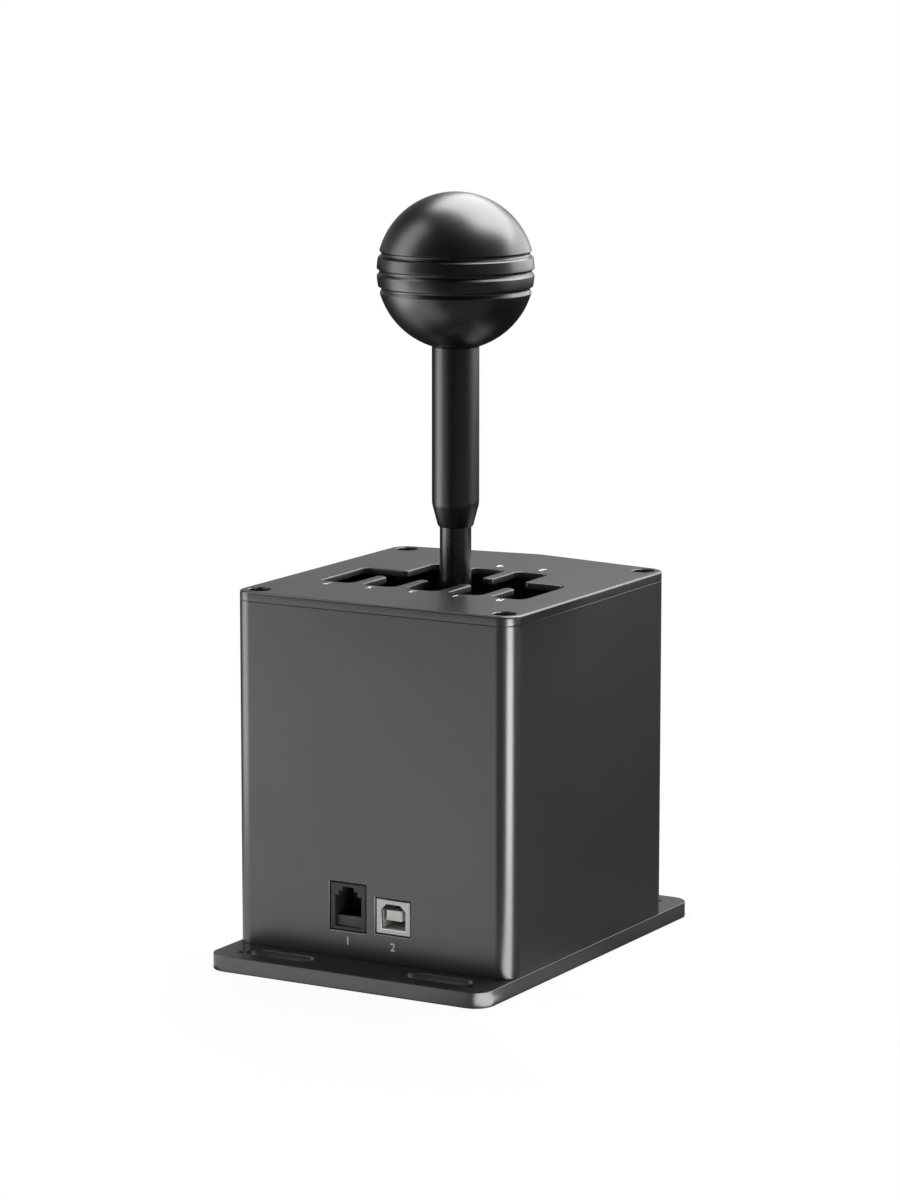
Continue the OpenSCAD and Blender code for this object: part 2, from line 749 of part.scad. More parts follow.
module lockout_nut() {
    color("silver") on_tower() plunger_nut(bearing_gap + rear_bracket_t);
}

module lockout_spring() {
    color("silver") on_tower() plunger_spring();
}

module lockout_pin() {
    color("silver") on_tower() plunger_pin();
}

module lever_block() {
    color("gray") at_pivot() difference() {
        union() {
            translate([-block_w / 2, -block_d / 2, -block_low]) cube([block_w, block_d, 2 * block_low]);
            translate([-block_w / 2, -6, 0]) cube([block_w, 12, block_top]);
        }
        translate([-block_w, 0, 0]) rotate([0, 90, 0]) cylinder(r = axle_r + seat_gap, h = 2 * block_w);
        translate([0, 0, axle_r + 2]) cylinder(r = shaft_r + seat_gap, h = block_top);
        translate([0, 0, -block_low - eps]) cylinder(r = 3 + seat_gap, h = 3 + eps);
        for (s = [-1, 1], a = [-shift_angle, 0, shift_angle]) rotate([a, 0, 0])
            translate([s * (block_w / 2 + notch_r - notch_depth), 0, detent_r]) sphere(notch_r);
    }
}

module magnet() {
    color("lightgray") at_pivot() translate([0, 0, -block_low]) cylinder(r = 3, h = 3);
}

module shift_axle() {
    color("silver") at_pivot() rotate([0, 90, 0]) difference() {
        translate([0, 0, -yoke_w / 2 - 2]) cylinder(r = axle_r, h = yoke_w + 4);
        for (s = [-1, 1]) translate([0, 0, s * (yoke_w / 2 + 0.7) - 0.4]) difference() {
            cylinder(r = axle_r + eps, h = 0.8);
            cylinder(r = axle_r - 0.5, h = 0.8);
        }
    }
}

module axle_clips() {
    color("dimgray") at_pivot() for (s = [-1, 1]) rotate([0, 90, 0])
        translate([0, 0, s * (yoke_w / 2 + 0.7) - 0.35]) difference() {
            cylinder(r = axle_r + 1.8, h = 0.7);
            translate([0, 0, -eps]) cylinder(r = axle_r - 0.45, h = 0.7 + 2 * eps);
        }
}

module lever_shaft() {
    bottom = pivot_z + axle_r + 2;
    top = sleeve_top - sleeve_cap - 0.2;
    color("silver") translate([0, lever_y, bottom]) cylinder(r = shaft_r, h = top - bottom);
}

module shaft_lock_nut() {
    color("silver") translate([0, lever_y, pivot_z + block_top]) difference() {
        cylinder(r = shaft_r + lock_nut_wall, h = lock_nut_t, $fn = 6);
        translate([0, 0, -eps]) cylinder(r = shaft_r + seat_gap, h = lock_nut_t + 2 * eps);
    }
}

module lever_sleeve() {
    r = sleeve_d / 2;
    color("dimgray") translate([0, lever_y, 0]) difference() {
        union() {
            translate([0, 0, sleeve_z]) cylinder(r1 = shaft_r + 0.25, r2 = shaft_r + 0.65, h = 0.4);
            translate([0, 0, sleeve_z + 0.4]) cylinder(r1 = shaft_r + 0.65, r2 = r, h = taper_len - 0.4);
            translate([0, 0, sleeve_z + taper_len]) cylinder(r = r, h = sleeve_len - taper_len - 0.5);
            translate([0, 0, sleeve_top - 0.5]) cylinder(r1 = r, r2 = r - 0.5, h = 0.5);
            translate([0, 0, sleeve_top - 1]) cylinder(r = stem_r, h = stem_len + 1);
        }
        translate([0, 0, sleeve_z - eps])
            cylinder(r = shaft_r + seat_gap, h = sleeve_len - sleeve_cap + eps);
    }
}

module shift_knob() {
    color("dimgray") translate([0, lever_y, knob_z]) difference() {
        rotate_extrude() difference() {
            intersection() {
                circle(knob_r);
                translate([0, -knob_r]) square([knob_r, 2 * knob_r]);
            }
            for (k = [0 : groove_count - 1]) {
                z = (k - (groove_count - 1) / 2) * groove_pitch;
                translate([sqrt(knob_r * knob_r - z * z), z]) circle(groove_w / 2);
            }
        }
        translate([0, 0, -knob_r - eps])
            cylinder(r = insert_r + seat_gap, h = insert_up + insert_len + sink + eps);
    }
}

module knob_insert() {
    color("goldenrod") translate([0, lever_y, knob_z - knob_r]) difference() {
        translate([0, 0, insert_up]) cylinder(r = insert_r, h = insert_len);
        cylinder(r = stem_r + seat_gap, h = stem_len + 1);
    }
}

base_plate();
housing();
gate_plate();
top_screws();
bottom_screws();
bracket_screws();
front_bracket();
rear_bracket();
select_bushes();
main_board();
board_standoffs();
board_screws();
board_chips();
data_jack();
data_contacts();
usb_shell();
usb_insert();
sensor_board();
sensor_spacers();
sensor_screws();
hall_sensor();
ribbon_cable();
spring_posts();
centring_spring_left();
centring_spring_right();
select_yoke();
select_pins();
shift_bushes();
detent_bodies();
detent_nuts();
detent_spring_left();
detent_spring_right();
detent_pin_left();
detent_pin_right();
lockout_body();
lockout_nut();
lockout_spring();
lockout_pin();
lever_block();
magnet();
shift_axle();
axle_clips();
lever_shaft();
shaft_lock_nut();
lever_sleeve();
shift_knob();
knob_insert();
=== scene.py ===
import json
import math

import bmesh
import bpy
from mathutils import Matrix, Vector


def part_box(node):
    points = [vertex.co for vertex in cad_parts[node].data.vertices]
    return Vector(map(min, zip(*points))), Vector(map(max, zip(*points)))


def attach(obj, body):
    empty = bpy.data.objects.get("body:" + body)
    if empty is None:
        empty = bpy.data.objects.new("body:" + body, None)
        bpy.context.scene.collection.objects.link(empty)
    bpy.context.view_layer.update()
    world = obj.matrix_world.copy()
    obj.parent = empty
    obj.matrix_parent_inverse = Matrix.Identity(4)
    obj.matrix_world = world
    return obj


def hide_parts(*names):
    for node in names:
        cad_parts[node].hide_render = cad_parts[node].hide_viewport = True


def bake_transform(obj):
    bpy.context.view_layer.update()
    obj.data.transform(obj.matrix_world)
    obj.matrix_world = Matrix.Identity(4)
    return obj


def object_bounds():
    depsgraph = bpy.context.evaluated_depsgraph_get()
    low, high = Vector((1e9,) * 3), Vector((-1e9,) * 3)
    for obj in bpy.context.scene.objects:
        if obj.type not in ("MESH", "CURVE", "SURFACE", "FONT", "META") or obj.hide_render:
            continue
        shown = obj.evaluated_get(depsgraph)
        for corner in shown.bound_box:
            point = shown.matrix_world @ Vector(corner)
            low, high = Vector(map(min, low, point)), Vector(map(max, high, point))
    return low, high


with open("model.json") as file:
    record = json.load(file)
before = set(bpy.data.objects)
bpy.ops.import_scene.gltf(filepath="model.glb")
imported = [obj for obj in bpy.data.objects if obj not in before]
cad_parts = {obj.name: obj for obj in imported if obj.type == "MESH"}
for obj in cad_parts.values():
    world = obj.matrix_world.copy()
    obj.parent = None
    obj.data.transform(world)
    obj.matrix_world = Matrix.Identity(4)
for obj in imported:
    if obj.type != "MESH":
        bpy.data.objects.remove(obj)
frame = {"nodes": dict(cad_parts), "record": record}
CAD_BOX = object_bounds()

bl_info = {
    "name": "Gear Shifter Dressing",
    "version": (1, 0, 0),
    "blender": (4, 5, 0),
    "location": "3D View > Sidebar > Shifter",
    "description": "Fine shapes, finishes and a small studio for a sim racing gear shifter",
    "category": "Object",
}

MM = 0.001
WELD = 0.002 * MM
LEVER_Y = sum(c.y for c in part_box("lever_shaft")) / 2
HIGH = CAD_BOX[1]
CORNERS = ((-1, -1), (1, -1), (1, 1), (-1, 1))


# Sizes and colours that a user may change


def fine_length(label, about, default, least, most):
    """A length in millimetres."""
    return bpy.props.FloatProperty(
        name=label, description=about, default=default * MM, min=least * MM, max=most * MM,
        precision=5, unit="LENGTH")


def brightness(label, about, default, most):
    """A lamp's or card's brightness, where 1 shows as white."""
    return bpy.props.FloatProperty(name=label, description=about, default=default, min=0, max=most)


def paint(label, about, default):
    """A colour."""
    return bpy.props.FloatVectorProperty(
        name=label, description=about, default=default, size=3, min=0, max=1, subtype="COLOR")


class ShifterSizes(bpy.types.PropertyGroup):
    """Sizes of the fine shapes that the solids leave plain."""

    plate_edge: fine_length("Plate edge", "Rounding on the edges of the two plates", 0.7, 0.05, 1)
    gate_edge: fine_length("Gate edge", "Rounding on the upper edge of the gate", 0.55, 0.05, 0.8)
    housing_edge: fine_length(
        "Housing edge", "Rounding on the ends of the housing, which leaves a fine seam", 0.25, 0.05, 0.6)
    window_edge: fine_length("Window edge", "Chamfer on the two socket windows", 0.22, 0.02, 0.5)
    pilot_edge: fine_length(
        "Pilot edge", "Rounding on the four small holes of the base plate", 0.2, 0.02, 0.4)
    screw_drop: fine_length("Screw drop", "How far a countersunk head lies under its plate", 0.14, 0.05, 0.8)
    ring_lip: fine_length("Ring lip", "Rounding on the upper lip of each ring of the knob", 0.15, 0.05, 0.4)
    ring_foot: fine_length(
        "Ring foot", "Width of the chamfer on the lower lip of each ring of the knob", 0.5, 0.05, 0.8)
    gear_mark: fine_length("Gear mark", "Height of a printed gear mark", 3.2, 2, 5)
    socket_mark: fine_length("Socket mark", "Height of the printed number under a socket", 2.6, 1, 4)
    print_lift: fine_length("Print lift", "Thickness of the printed ink", 0.03, 0.01, 0.1)
    turn_steps: bpy.props.IntProperty(
        name="Turn steps", description="Steps round a turned piece",
        default=128, min=24, max=256)


class ShifterColours(bpy.types.PropertyGroup):
    """Colours of the finishes."""

    anodised: paint("Anodised black", "Satin black of the plates and the housing", (0.115, 0.115, 0.115))
    turned: paint("Turned black", "Satin black of the knob and the sleeve", (0.1, 0.1, 0.1))
    ink: paint("Ink", "White of the printed marks", (0.78, 0.78, 0.78))
    nickel: paint("Nickel", "Plating of the square socket", (0.48, 0.475, 0.465))
    board: paint("Board", "Solder mask of the two boards", (0.012, 0.075, 0.03))
    floor: paint("Floor", "Pale floor", (0.9, 0.9, 0.9))


class ShifterStudio(bpy.types.PropertyGroup):
    """Camera, lamps, cards, floor and air."""

    azimuth: bpy.props.FloatProperty(
        name="Azimuth", description="Camera's turn from the port side toward the right",
        default=math.radians(29.844), subtype="ANGLE")
    elevation: bpy.props.FloatProperty(
        name="Elevation", description="Camera's angle over the floor",
        default=math.radians(9.858), subtype="ANGLE")
    aside: bpy.props.FloatProperty(
        name="Aside", description="Camera's place to the right of the origin",
        default=-1.515 * MM, precision=5, unit="LENGTH")
    raised: bpy.props.FloatProperty(
        name="Raised", description="Camera's place over the origin, across the view",
        default=109.69 * MM, precision=5, unit="LENGTH")
    away: bpy.props.FloatProperty(
        name="Away", description="Camera's distance from the origin along the view",
        default=1395.07 * MM, precision=5, unit="LENGTH")
    lens: bpy.props.FloatProperty(
        name="Lens", description="Focal length on a 36 mm frame",
        default=130.03, min=20, max=300, unit="CAMERA")
    overhead: brightness("Overhead panel", "Brightness of the panel over and behind the knob", 7.5, 30)
    back_panel: brightness("Back panel", "Brightness of the low panel behind", 3.6, 30)
    left_panel: brightness("Left panel", "Brightness of the tall panel on the left", 2.4, 30)
    right_wedge: brightness(
        "Right wedge", "Brightness of the wedge of light on the floor at the right", 6.2, 40)
    floor_white: bpy.props.FloatProperty(
        name="Floor white", description="Share of the floor near the object that shows as plain white",
        default=0.955, min=0, max=1, subtype="FACTOR")
    # The next settings paint light into the floor as only the metal sees it: a glowing pool of light, with
    # dim floor beyond it as painted shade.
    floor_dim: bpy.props.FloatProperty(
        name="Floor dim", description="Brightness of the floor in the metal beyond the white sheet",
        default=0.04, min=0, max=1, subtype="FACTOR")
    light_pool_place: bpy.props.FloatVectorProperty(
        name="Sheet place", description="Middle of the white sheet that the metal mirrors",
        default=(-0.34, -0.36), size=2, subtype="XYZ_LENGTH", unit="LENGTH")
    light_pool_size: bpy.props.FloatVectorProperty(
        name="Sheet size", description="Half width and half length of the white sheet",
        default=(0.56, 0.75), size=2, subtype="XYZ_LENGTH", unit="LENGTH")
    light_pool_turn: bpy.props.FloatProperty(
        name="Sheet turn", description="Turn of the white sheet on the floor",
        default=math.radians(-30), subtype="ANGLE")
    light_pool_side: bpy.props.FloatProperty(
        name="Sheet side", description="Azimuth of the white sheet's right side, from the housing's corner",
        default=math.radians(-21), subtype="ANGLE")
    light_pool_rear: bpy.props.FloatProperty(
        name="Sheet rear", description="Place of the white sheet's rear side, fore and aft",
        default=-0.005, precision=4, unit="LENGTH")
    side_sheet: brightness("Side sheet", "Brightness of the sheet on the floor, far at the right", 1.6, 10)
    horizon: bpy.props.FloatVectorProperty(
        name="Horizon", description="Brightness of the air near the horizon, in front and behind",
        default=(0.05, 0.5), size=2, min=0, max=1)
    zenith: bpy.props.FloatProperty(
        name="Zenith", description="Brightness of the air overhead",
        default=0.03, min=0, max=1, subtype="FACTOR")


def sizes():
    """The fine sizes of this scene."""
    return bpy.context.scene.shifter_sizes


def colours():
    """The colours of this scene."""
    return bpy.context.scene.shifter_colours


def mount(name):
    """A mount's dimensions in the record, in millimetres."""
    return next(m["dims"] for m in frame["record"]["mounts"] if m["name"] == name)


# Finishes


def built_in(tree, kind):
    """The node of a kind that a new tree comes with."""
    return next(n for n in tree.nodes if n.type == kind)


def add(tree, kind, inputs=None, **settings):
    """A new shader node with its settings and the even values of its inputs."""
    node = tree.nodes.new("ShaderNode" + kind)
    for name, value in settings.items():
        setattr(node, name, value)
    for label, value in (inputs or {}).items():
        node.inputs[label].default_value = value
    return node


def combine(tree, operation, *values):
    """Two sockets or numbers put together by a maths node."""
    node = add(tree, "Math", operation=operation)
    for socket, value in zip(node.inputs, values):
        if isinstance(value, bpy.types.NodeSocket):
            tree.links.new(value, socket)
        else:
            socket.default_value = value
    return node.outputs[0]


def new_finish(name, metallic, roughness, **sockets):
    """A material with its shader's even values set, its tree and its shader."""
    material = bpy.data.materials.new(name)
    material.use_nodes = True
    tree = material.node_tree
    shader = built_in(tree, "BSDF_PRINCIPLED")
    shader.inputs["Metallic"].default_value = metallic
    shader.inputs["Roughness"].default_value = roughness
    for label, value in sockets.items():
        shader.inputs[label.replace("_", " ").title().replace("Ior", "IOR")].default_value = value
    return material, tree, shader


def grain(tree, scale, detail=2.0, stretch=(1, 1, 1)):
    """Noise on the piece's own coordinates, in grains to the metre, drawn out where stretch is low."""
    place = add(tree, "TexCoord")
    mapping = add(tree, "Mapping", {"Scale": stretch})
    noise = add(tree, "TexNoise", {"Scale": scale, "Detail": detail})
    tree.links.new(place.outputs["Object"], mapping.inputs["Vector"])
    tree.links.new(mapping.outputs["Vector"], noise.inputs["Vector"])
    return noise.outputs[0]


def spread(tree, value, low, high):
    """A noise value, which lies mostly from 0.3 to 0.7, spread from low to high."""
    node = add(tree, "MapRange", {"From Min": 0.3, "From Max": 0.7, "To Min": low, "To Max": high})
    tree.links.new(value, node.inputs["Value"])
    return node.outputs["Result"]


def between(tree, value, dark, light):
    """A colour between two, by a value from 0 to 1."""
    node = add(tree, "Mix", data_type="RGBA")
    for socket in node.inputs:
        if socket.type == "RGBA" and socket.name == "A":
            socket.default_value = (*dark[:3], 1)
        if socket.type == "RGBA" and socket.name == "B":
            socket.default_value = (*light[:3], 1)
    tree.links.new(value, node.inputs["Factor"])
    return next(s for s in node.outputs if s.type == "RGBA")


def relief(tree, shader, value, depth, strength=1.0):
    """Raises the surface by a value, so many metres deep."""
    bump = add(tree, "Bump", {"Distance": depth, "Strength": strength})
    tree.links.new(value, bump.inputs["Height"])
    tree.links.new(bump.outputs["Normal"], shader.inputs["Normal"])


def toned(colour, factor):
    """A colour made lighter or darker."""
    return tuple(min(1.0, c * factor) for c in colour[:3])


def grey(tone):
    """An even grey."""
    return (tone, tone, tone, 1)


def satin_metal(colour, roughness, vary, grain_scale, grain_depth, stretch=(1, 1, 1), metallic=1.0,
                **sockets):
    """Metal with a fine grain, drawn out where stretch is low, and a soft change of tone and gloss."""
    material, tree, shader = new_finish("finish", metallic, roughness, **sockets)
    cloud = grain(tree, 45, 3)
    fine = grain(tree, grain_scale, 2, stretch)
    tree.links.new(between(tree, spread(tree, cloud, 0, 1), toned(colour, 0.97), toned(colour, 1.03)),
                   shader.inputs["Base Color"])
    tree.links.new(spread(tree, fine, roughness - vary, roughness + vary), shader.inputs["Roughness"])
    relief(tree, shader, fine, grain_depth)
    return material


def moulded(colour, roughness, grain_scale, grain_depth):
    """Moulded plastic or printed ink with a fine spark grain."""
    return satin_metal(colour, roughness, 0.06, grain_scale, grain_depth, metallic=0.0)


def board_mask():
    """Solder mask with faint copper runs under it."""
    colour = colours().board
    material, tree, shader = new_finish("finish", 0.0, 0.35)
    place = add(tree, "TexCoord")
    runs = add(tree, "TexBrick", {
        "Scale": 420, "Mortar Size": 0.06, "Color1": (*toned(colour, 0.8), 1),
        "Color2": (*toned(colour, 1.15), 1), "Mortar": (*toned(colour, 1.9), 1)})
    tree.links.new(place.outputs["Object"], runs.inputs["Vector"])
    tree.links.new(runs.outputs["Color"], shader.inputs["Base Color"])
    tree.links.new(spread(tree, grain(tree, 900), 0.28, 0.42), shader.inputs["Roughness"])
    relief(tree, shader, runs.outputs["Fac"], 0.02 * MM)
    return material


def flat_cable():
    """Grey flat cable with its cores side by side."""
    material, tree, shader = new_finish("finish", 0.0, 0.5)
    place = add(tree, "TexCoord")
    cores = add(tree, "TexWave", {"Scale": 310}, bands_direction="DIAGONAL")
    tree.links.new(place.outputs["Object"], cores.inputs["Vector"])
    tree.links.new(between(tree, cores.outputs["Fac"], (0.2, 0.2, 0.21), (0.34, 0.34, 0.35)),
                   shader.inputs["Base Color"])
    tree.links.new(spread(tree, grain(tree, 1500), 0.45, 0.6), shader.inputs["Roughness"])
    relief(tree, shader, cores.outputs["Fac"], 0.15 * MM, 0.6)
    return material


# Each metal gives its colour, roughness, change of roughness, grains to the metre, their depth and stretch
FINISHES = {
    "black_anodised": lambda: satin_metal(
        colours().anodised, 0.3, 0.02, 4200, 0.0015 * MM, metallic=0.85, specular_tint=grey(0.75)),
    "plate_black": lambda: satin_metal(
        toned(colours().anodised, 1.1), 0.3, 0.02, 4200, 0.0015 * MM,
        metallic=0.77, specular_tint=grey(0.75)),
    "turned_black": lambda: satin_metal(
        colours().turned, 0.34, 0.015, 3000, 0.0003 * MM, (0.1, 0.1, 1), specular_tint=grey(0.8)),
    "rod_black": lambda: satin_metal(
        toned(colours().turned, 0.9), 0.28, 0.015, 3000, 0.00006 * MM, (0.1, 0.1, 1)),
    "black_steel": lambda: satin_metal(
        (0.02, 0.02, 0.021), 0.42, 0.05, 5200, 0.008 * MM, specular_tint=grey(0.2)),
    "bare_aluminium": lambda: satin_metal((0.58, 0.59, 0.6), 0.36, 0.08, 2600, 0.008 * MM, (0.04, 1, 1)),
    "steel": lambda: satin_metal((0.5, 0.5, 0.51), 0.28, 0.06, 3600, 0.005 * MM, (1, 0.1, 0.1)),
    "spring_steel": lambda: satin_metal((0.38, 0.38, 0.4), 0.3, 0.06, 3200, 0.005 * MM),
    "bronze": lambda: satin_metal((0.5, 0.32, 0.13), 0.38, 0.08, 3000, 0.01 * MM),
    "contact_gold": lambda: satin_metal((0.7, 0.5, 0.2), 0.26, 0.05, 3000, 0.004 * MM),
    "socket_nickel": lambda: satin_metal(colours().nickel, 0.34, 0.06, 3200, 0.005 * MM, (0.15, 1, 1)),
    "magnet_nickel": lambda: satin_metal((0.6, 0.6, 0.6), 0.2, 0.05, 2000, 0.003 * MM),
    "chip_black": lambda: moulded((0.02, 0.02, 0.021), 0.55, 2400, 0.012 * MM),
    "jack_black": lambda: moulded((0.035, 0.035, 0.036), 0.42, 2200, 0.008 * MM),
    "sill_grey": lambda: moulded((0.065, 0.065, 0.065), 0.4, 2200, 0.008 * MM),
    "tongue_white": lambda: moulded((0.8, 0.79, 0.76), 0.4, 2000, 0.006 * MM),
    "liner_pale": lambda: moulded((0.62, 0.61, 0.59), 0.4, 2000, 0.006 * MM),
    "spacer_white": lambda: moulded((0.75, 0.74, 0.7), 0.45, 1800, 0.01 * MM),
    "printed_white": lambda: moulded(colours().ink, 0.55, 5000, 0.004 * MM),
    "board_green": board_mask,
    "ribbon_grey": flat_cable,
}
MADE = {}


def finish(name):
    """The named finish, made on its first use."""
    if name not in MADE:
        MADE[name] = FINISHES[name]()
        MADE[name].name = "finish_" + name
    return MADE[name]


# Making pieces


def merged_copy(node):
    """A CAD node's mesh as one bmesh, welded, and with its flat faces joined."""
    bm = bmesh.new()
    bm.from_mesh(frame["nodes"][node].data)
    bmesh.ops.remove_doubles(bm, verts=bm.verts, dist=WELD)
    bmesh.ops.dissolve_limit(bm, angle_limit=math.radians(0.4), verts=bm.verts, edges=bm.edges)
    return bm


def sharp_edges(bm, wanted=lambda point, edge: True, least=30):
    """The edges that turn by least degrees or more and whose middle is wanted."""
    found = []
    for edge in bm.edges:
        if len(edge.link_faces) == 2 and edge.calc_face_angle() > math.radians(least):
            if wanted((edge.verts[0].co + edge.verts[1].co) / 2, edge):
                found.append(edge)
    return found


def round_edges(bm, edges, offset, segments):
    """Rounds edges, or chamfers them where there is one segment."""
    bmesh.ops.bevel(bm, geom=edges, offset=offset, offset_type="OFFSET", segments=segments,
                    profile=0.5, affect="EDGES", material=-1, clamp_overlap=True, loop_slide=False)


def piece(name, bm, finish_name, body, nodes=(), smooth=35, even=True):
    """Makes a bmesh an object that rides on a body, if one is named, and stands for CAD nodes."""
    for face in bm.faces:
        face.smooth = True
    for edge in bm.edges:
        if len(edge.link_faces) == 2:
            edge.smooth = edge.calc_face_angle() < math.radians(smooth)
    mesh = bpy.data.meshes.new(name)
    bm.to_mesh(mesh)
    bm.free()
    mesh.materials.append(finish(finish_name))
    obj = bpy.data.objects.new(name, mesh)
    bpy.context.scene.collection.objects.link(obj)
    if even:
        level = obj.modifiers.new("Even shading", "WEIGHTED_NORMAL")
        level.keep_sharp = True
        level.weight = 80
    if body:
        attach(obj, body)
    if nodes:
        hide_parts(*nodes)
    return obj


def verts_of(geometry):
    """The vertices in an operator's result."""
    return [g for g in geometry if isinstance(g, bmesh.types.BMVert)]


def join(bm, made):
    """Adds a drawn bmesh to another and frees it."""
    mesh = bpy.data.meshes.new("drawn")
    made.to_mesh(mesh)
    made.free()
    bm.from_mesh(mesh)
    bpy.data.meshes.remove(mesh)


def line(bm, start, *points):
    """Draws straight lines from a vertex through points and returns the last vertex."""
    for point in points:
        nxt = bm.verts.new(point)
        bm.edges.new((start, nxt))
        start = nxt
    return start


def arc(bm, start, centre, angle, steps):
    """Draws an arc from a vertex round a centre in the lever's XZ plane and returns the last vertex."""
    turned = bmesh.ops.spin(bm, geom=[start], cent=centre, axis=(0, 1, 0), angle=angle, steps=steps)
    return verts_of(turned["geom_last"])[0]


def turn(bm, centre, steps):
    """Turns a profile drawn in the XZ plane full round an upright axis and closes its poles."""
    bmesh.ops.spin(bm, geom=bm.verts[:] + bm.edges[:], cent=centre, axis=(0, 0, 1),
                   angle=2 * math.pi, steps=steps, use_merge=True)
    bmesh.ops.remove_doubles(bm, verts=bm.verts, dist=WELD)
    bmesh.ops.dissolve_degenerate(bm, edges=bm.edges, dist=WELD)
    bmesh.ops.recalc_face_normals(bm, faces=bm.faces)


def soften(bm, vert, offset, segments):
    """Rounds one corner of a drawn profile."""
    bmesh.ops.bevel(bm, geom=[vert], offset=offset, offset_type="OFFSET", segments=segments,
                    profile=0.5, affect="VERTICES", material=-1, clamp_overlap=True)


def block(bm, low, high):
    """A box between two corners."""
    size = Vector(high) - Vector(low)
    made = bmesh.ops.create_cube(bm, size=1)
    bmesh.ops.scale(bm, vec=size, verts=made["verts"])
    bmesh.ops.translate(bm, vec=Vector(low) + size / 2, verts=made["verts"])


# Operators, one for each piece or group of like pieces


class SHIFTER_OT_base_plate(bpy.types.Operator):
    """Base plate with rounded edges on its rim, slots and pilot holes"""

    bl_idname = "shifter.base_plate"
    bl_label = "Base plate"

    def execute(self, context):
        bm = merged_copy("base_plate")
        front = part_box("housing")[0].y
        pilots = mount("pilot_holes")
        pilot_x, pilot_y = pilots["spacing_x_mm"] / 2 * MM, pilots["spacing_y_mm"] / 2 * MM
        reach = (pilots["hole_r_mm"] + 0.2) * MM

        def on_show(point, edge):
            level = abs(edge.verts[0].co.z - edge.verts[1].co.z) < WELD
            return level and (abs(point.y) > abs(front) + 1 * MM or abs(point.x) > HIGH.x - 0.1 * MM)

        def is_pilot(point):
            return abs(abs(point.x) - pilot_x) < reach and abs(abs(point.y) - pilot_y) < reach

        def at_pilot(point, edge):
            return on_show(point, edge) and is_pilot(point)

        def at_rim_or_slot(point, edge):
            return on_show(point, edge) and not is_pilot(point)

        round_edges(bm, sharp_edges(bm, at_pilot), sizes().pilot_edge, 2)
        round_edges(bm, sharp_edges(bm, at_rim_or_slot), sizes().plate_edge, 3)
        piece("base_plate_dressed", bm, "plate_black", "chassis", ["base_plate"])
        return {"FINISHED"}


class SHIFTER_OT_housing(bpy.types.Operator):
    """Housing with a fine seam at both ends and eased socket windows"""

    bl_idname = "shifter.housing"
    bl_label = "Housing"

    def execute(self, context):
        bm = merged_copy("housing")
        low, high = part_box("housing")
        screws = screw_places("top_screws")

        def at_rim(point, edge):
            if min(abs(point.z - low.z), abs(point.z - high.z)) > WELD:
                return False
            if min((point.xy - place.xy).length for place in screws) < 3 * MM:
                return False
            wall = min(edge.link_faces, key=lambda f: abs(f.normal.z))
            return wall.normal.xy.dot(point.xy) > 0

        def at_window(point, edge):
            return abs(point.y - low.y) < WELD and low.z + 2 * MM < point.z < high.z / 2

        round_edges(bm, sharp_edges(bm, at_rim), sizes().housing_edge, 2)
        round_edges(bm, sharp_edges(bm, at_window), sizes().window_edge, 1)
        piece("housing_dressed", bm, "black_anodised", "chassis", ["housing"])
        return {"FINISHED"}


class SHIFTER_OT_gate_plate(bpy.types.Operator):
    """Gate plate with a rounded rim and an eased gate"""

    bl_idname = "shifter.gate_plate"
    bl_label = "Gate plate"

    def execute(self, context):
        bm = merged_copy("gate_plate")
        low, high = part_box("gate_plate")
        screws = screw_places("top_screws")

        screw_room, gate_half_x, gate_half_y = 4.6 * MM, 40 * MM, 28 * MM

        def is_rim(point, edge):
            wall = min(edge.link_faces, key=lambda f: abs(f.normal.z))
            outer = max(abs(point.x) / high.x, abs(point.y) / high.y) > 0.8
            clear = min((point.xy - place.xy).length for place in screws) > screw_room
            return outer and clear and wall.normal.xy.dot(point.xy) > 0

        def top_rim(point, edge):
            return abs(point.z - high.z) < WELD and is_rim(point, edge)

        def low_rim(point, edge):
            return abs(point.z - low.z) < WELD and is_rim(point, edge)

        def at_gate(point, edge):
            inside = abs(point.x) < gate_half_x and abs(point.y - LEVER_Y) < gate_half_y
            return inside and abs(point.z - high.z) < WELD

        round_edges(bm, sharp_edges(bm, at_gate), sizes().gate_edge, 2)
        round_edges(bm, sharp_edges(bm, top_rim), sizes().plate_edge, 3)
        round_edges(bm, sharp_edges(bm, low_rim), sizes().housing_edge, 2)
        piece("gate_plate_dressed", bm, "black_anodised", "chassis", ["gate_plate"])
        return {"FINISHED"}


def screw_places(node):
    """Middles of the screws in a CAD node, found as its separate solids."""
    bm = merged_copy(node)
    places, left = [], set(bm.verts)
    while left:
        group, front = set(), [left.pop()]
        while front:
            vert = front.pop()
            group.add(vert)
            for edge in vert.link_edges:
                other = edge.other_vert(vert)
                if other in left:
                    left.discard(other)
                    front.append(other)
        axes = [[v.co[i] for v in group] for i in range(3)]
        places.append(Vector([(min(axis) + max(axis)) / 2 for axis in axes]))
    bm.free()
    return places


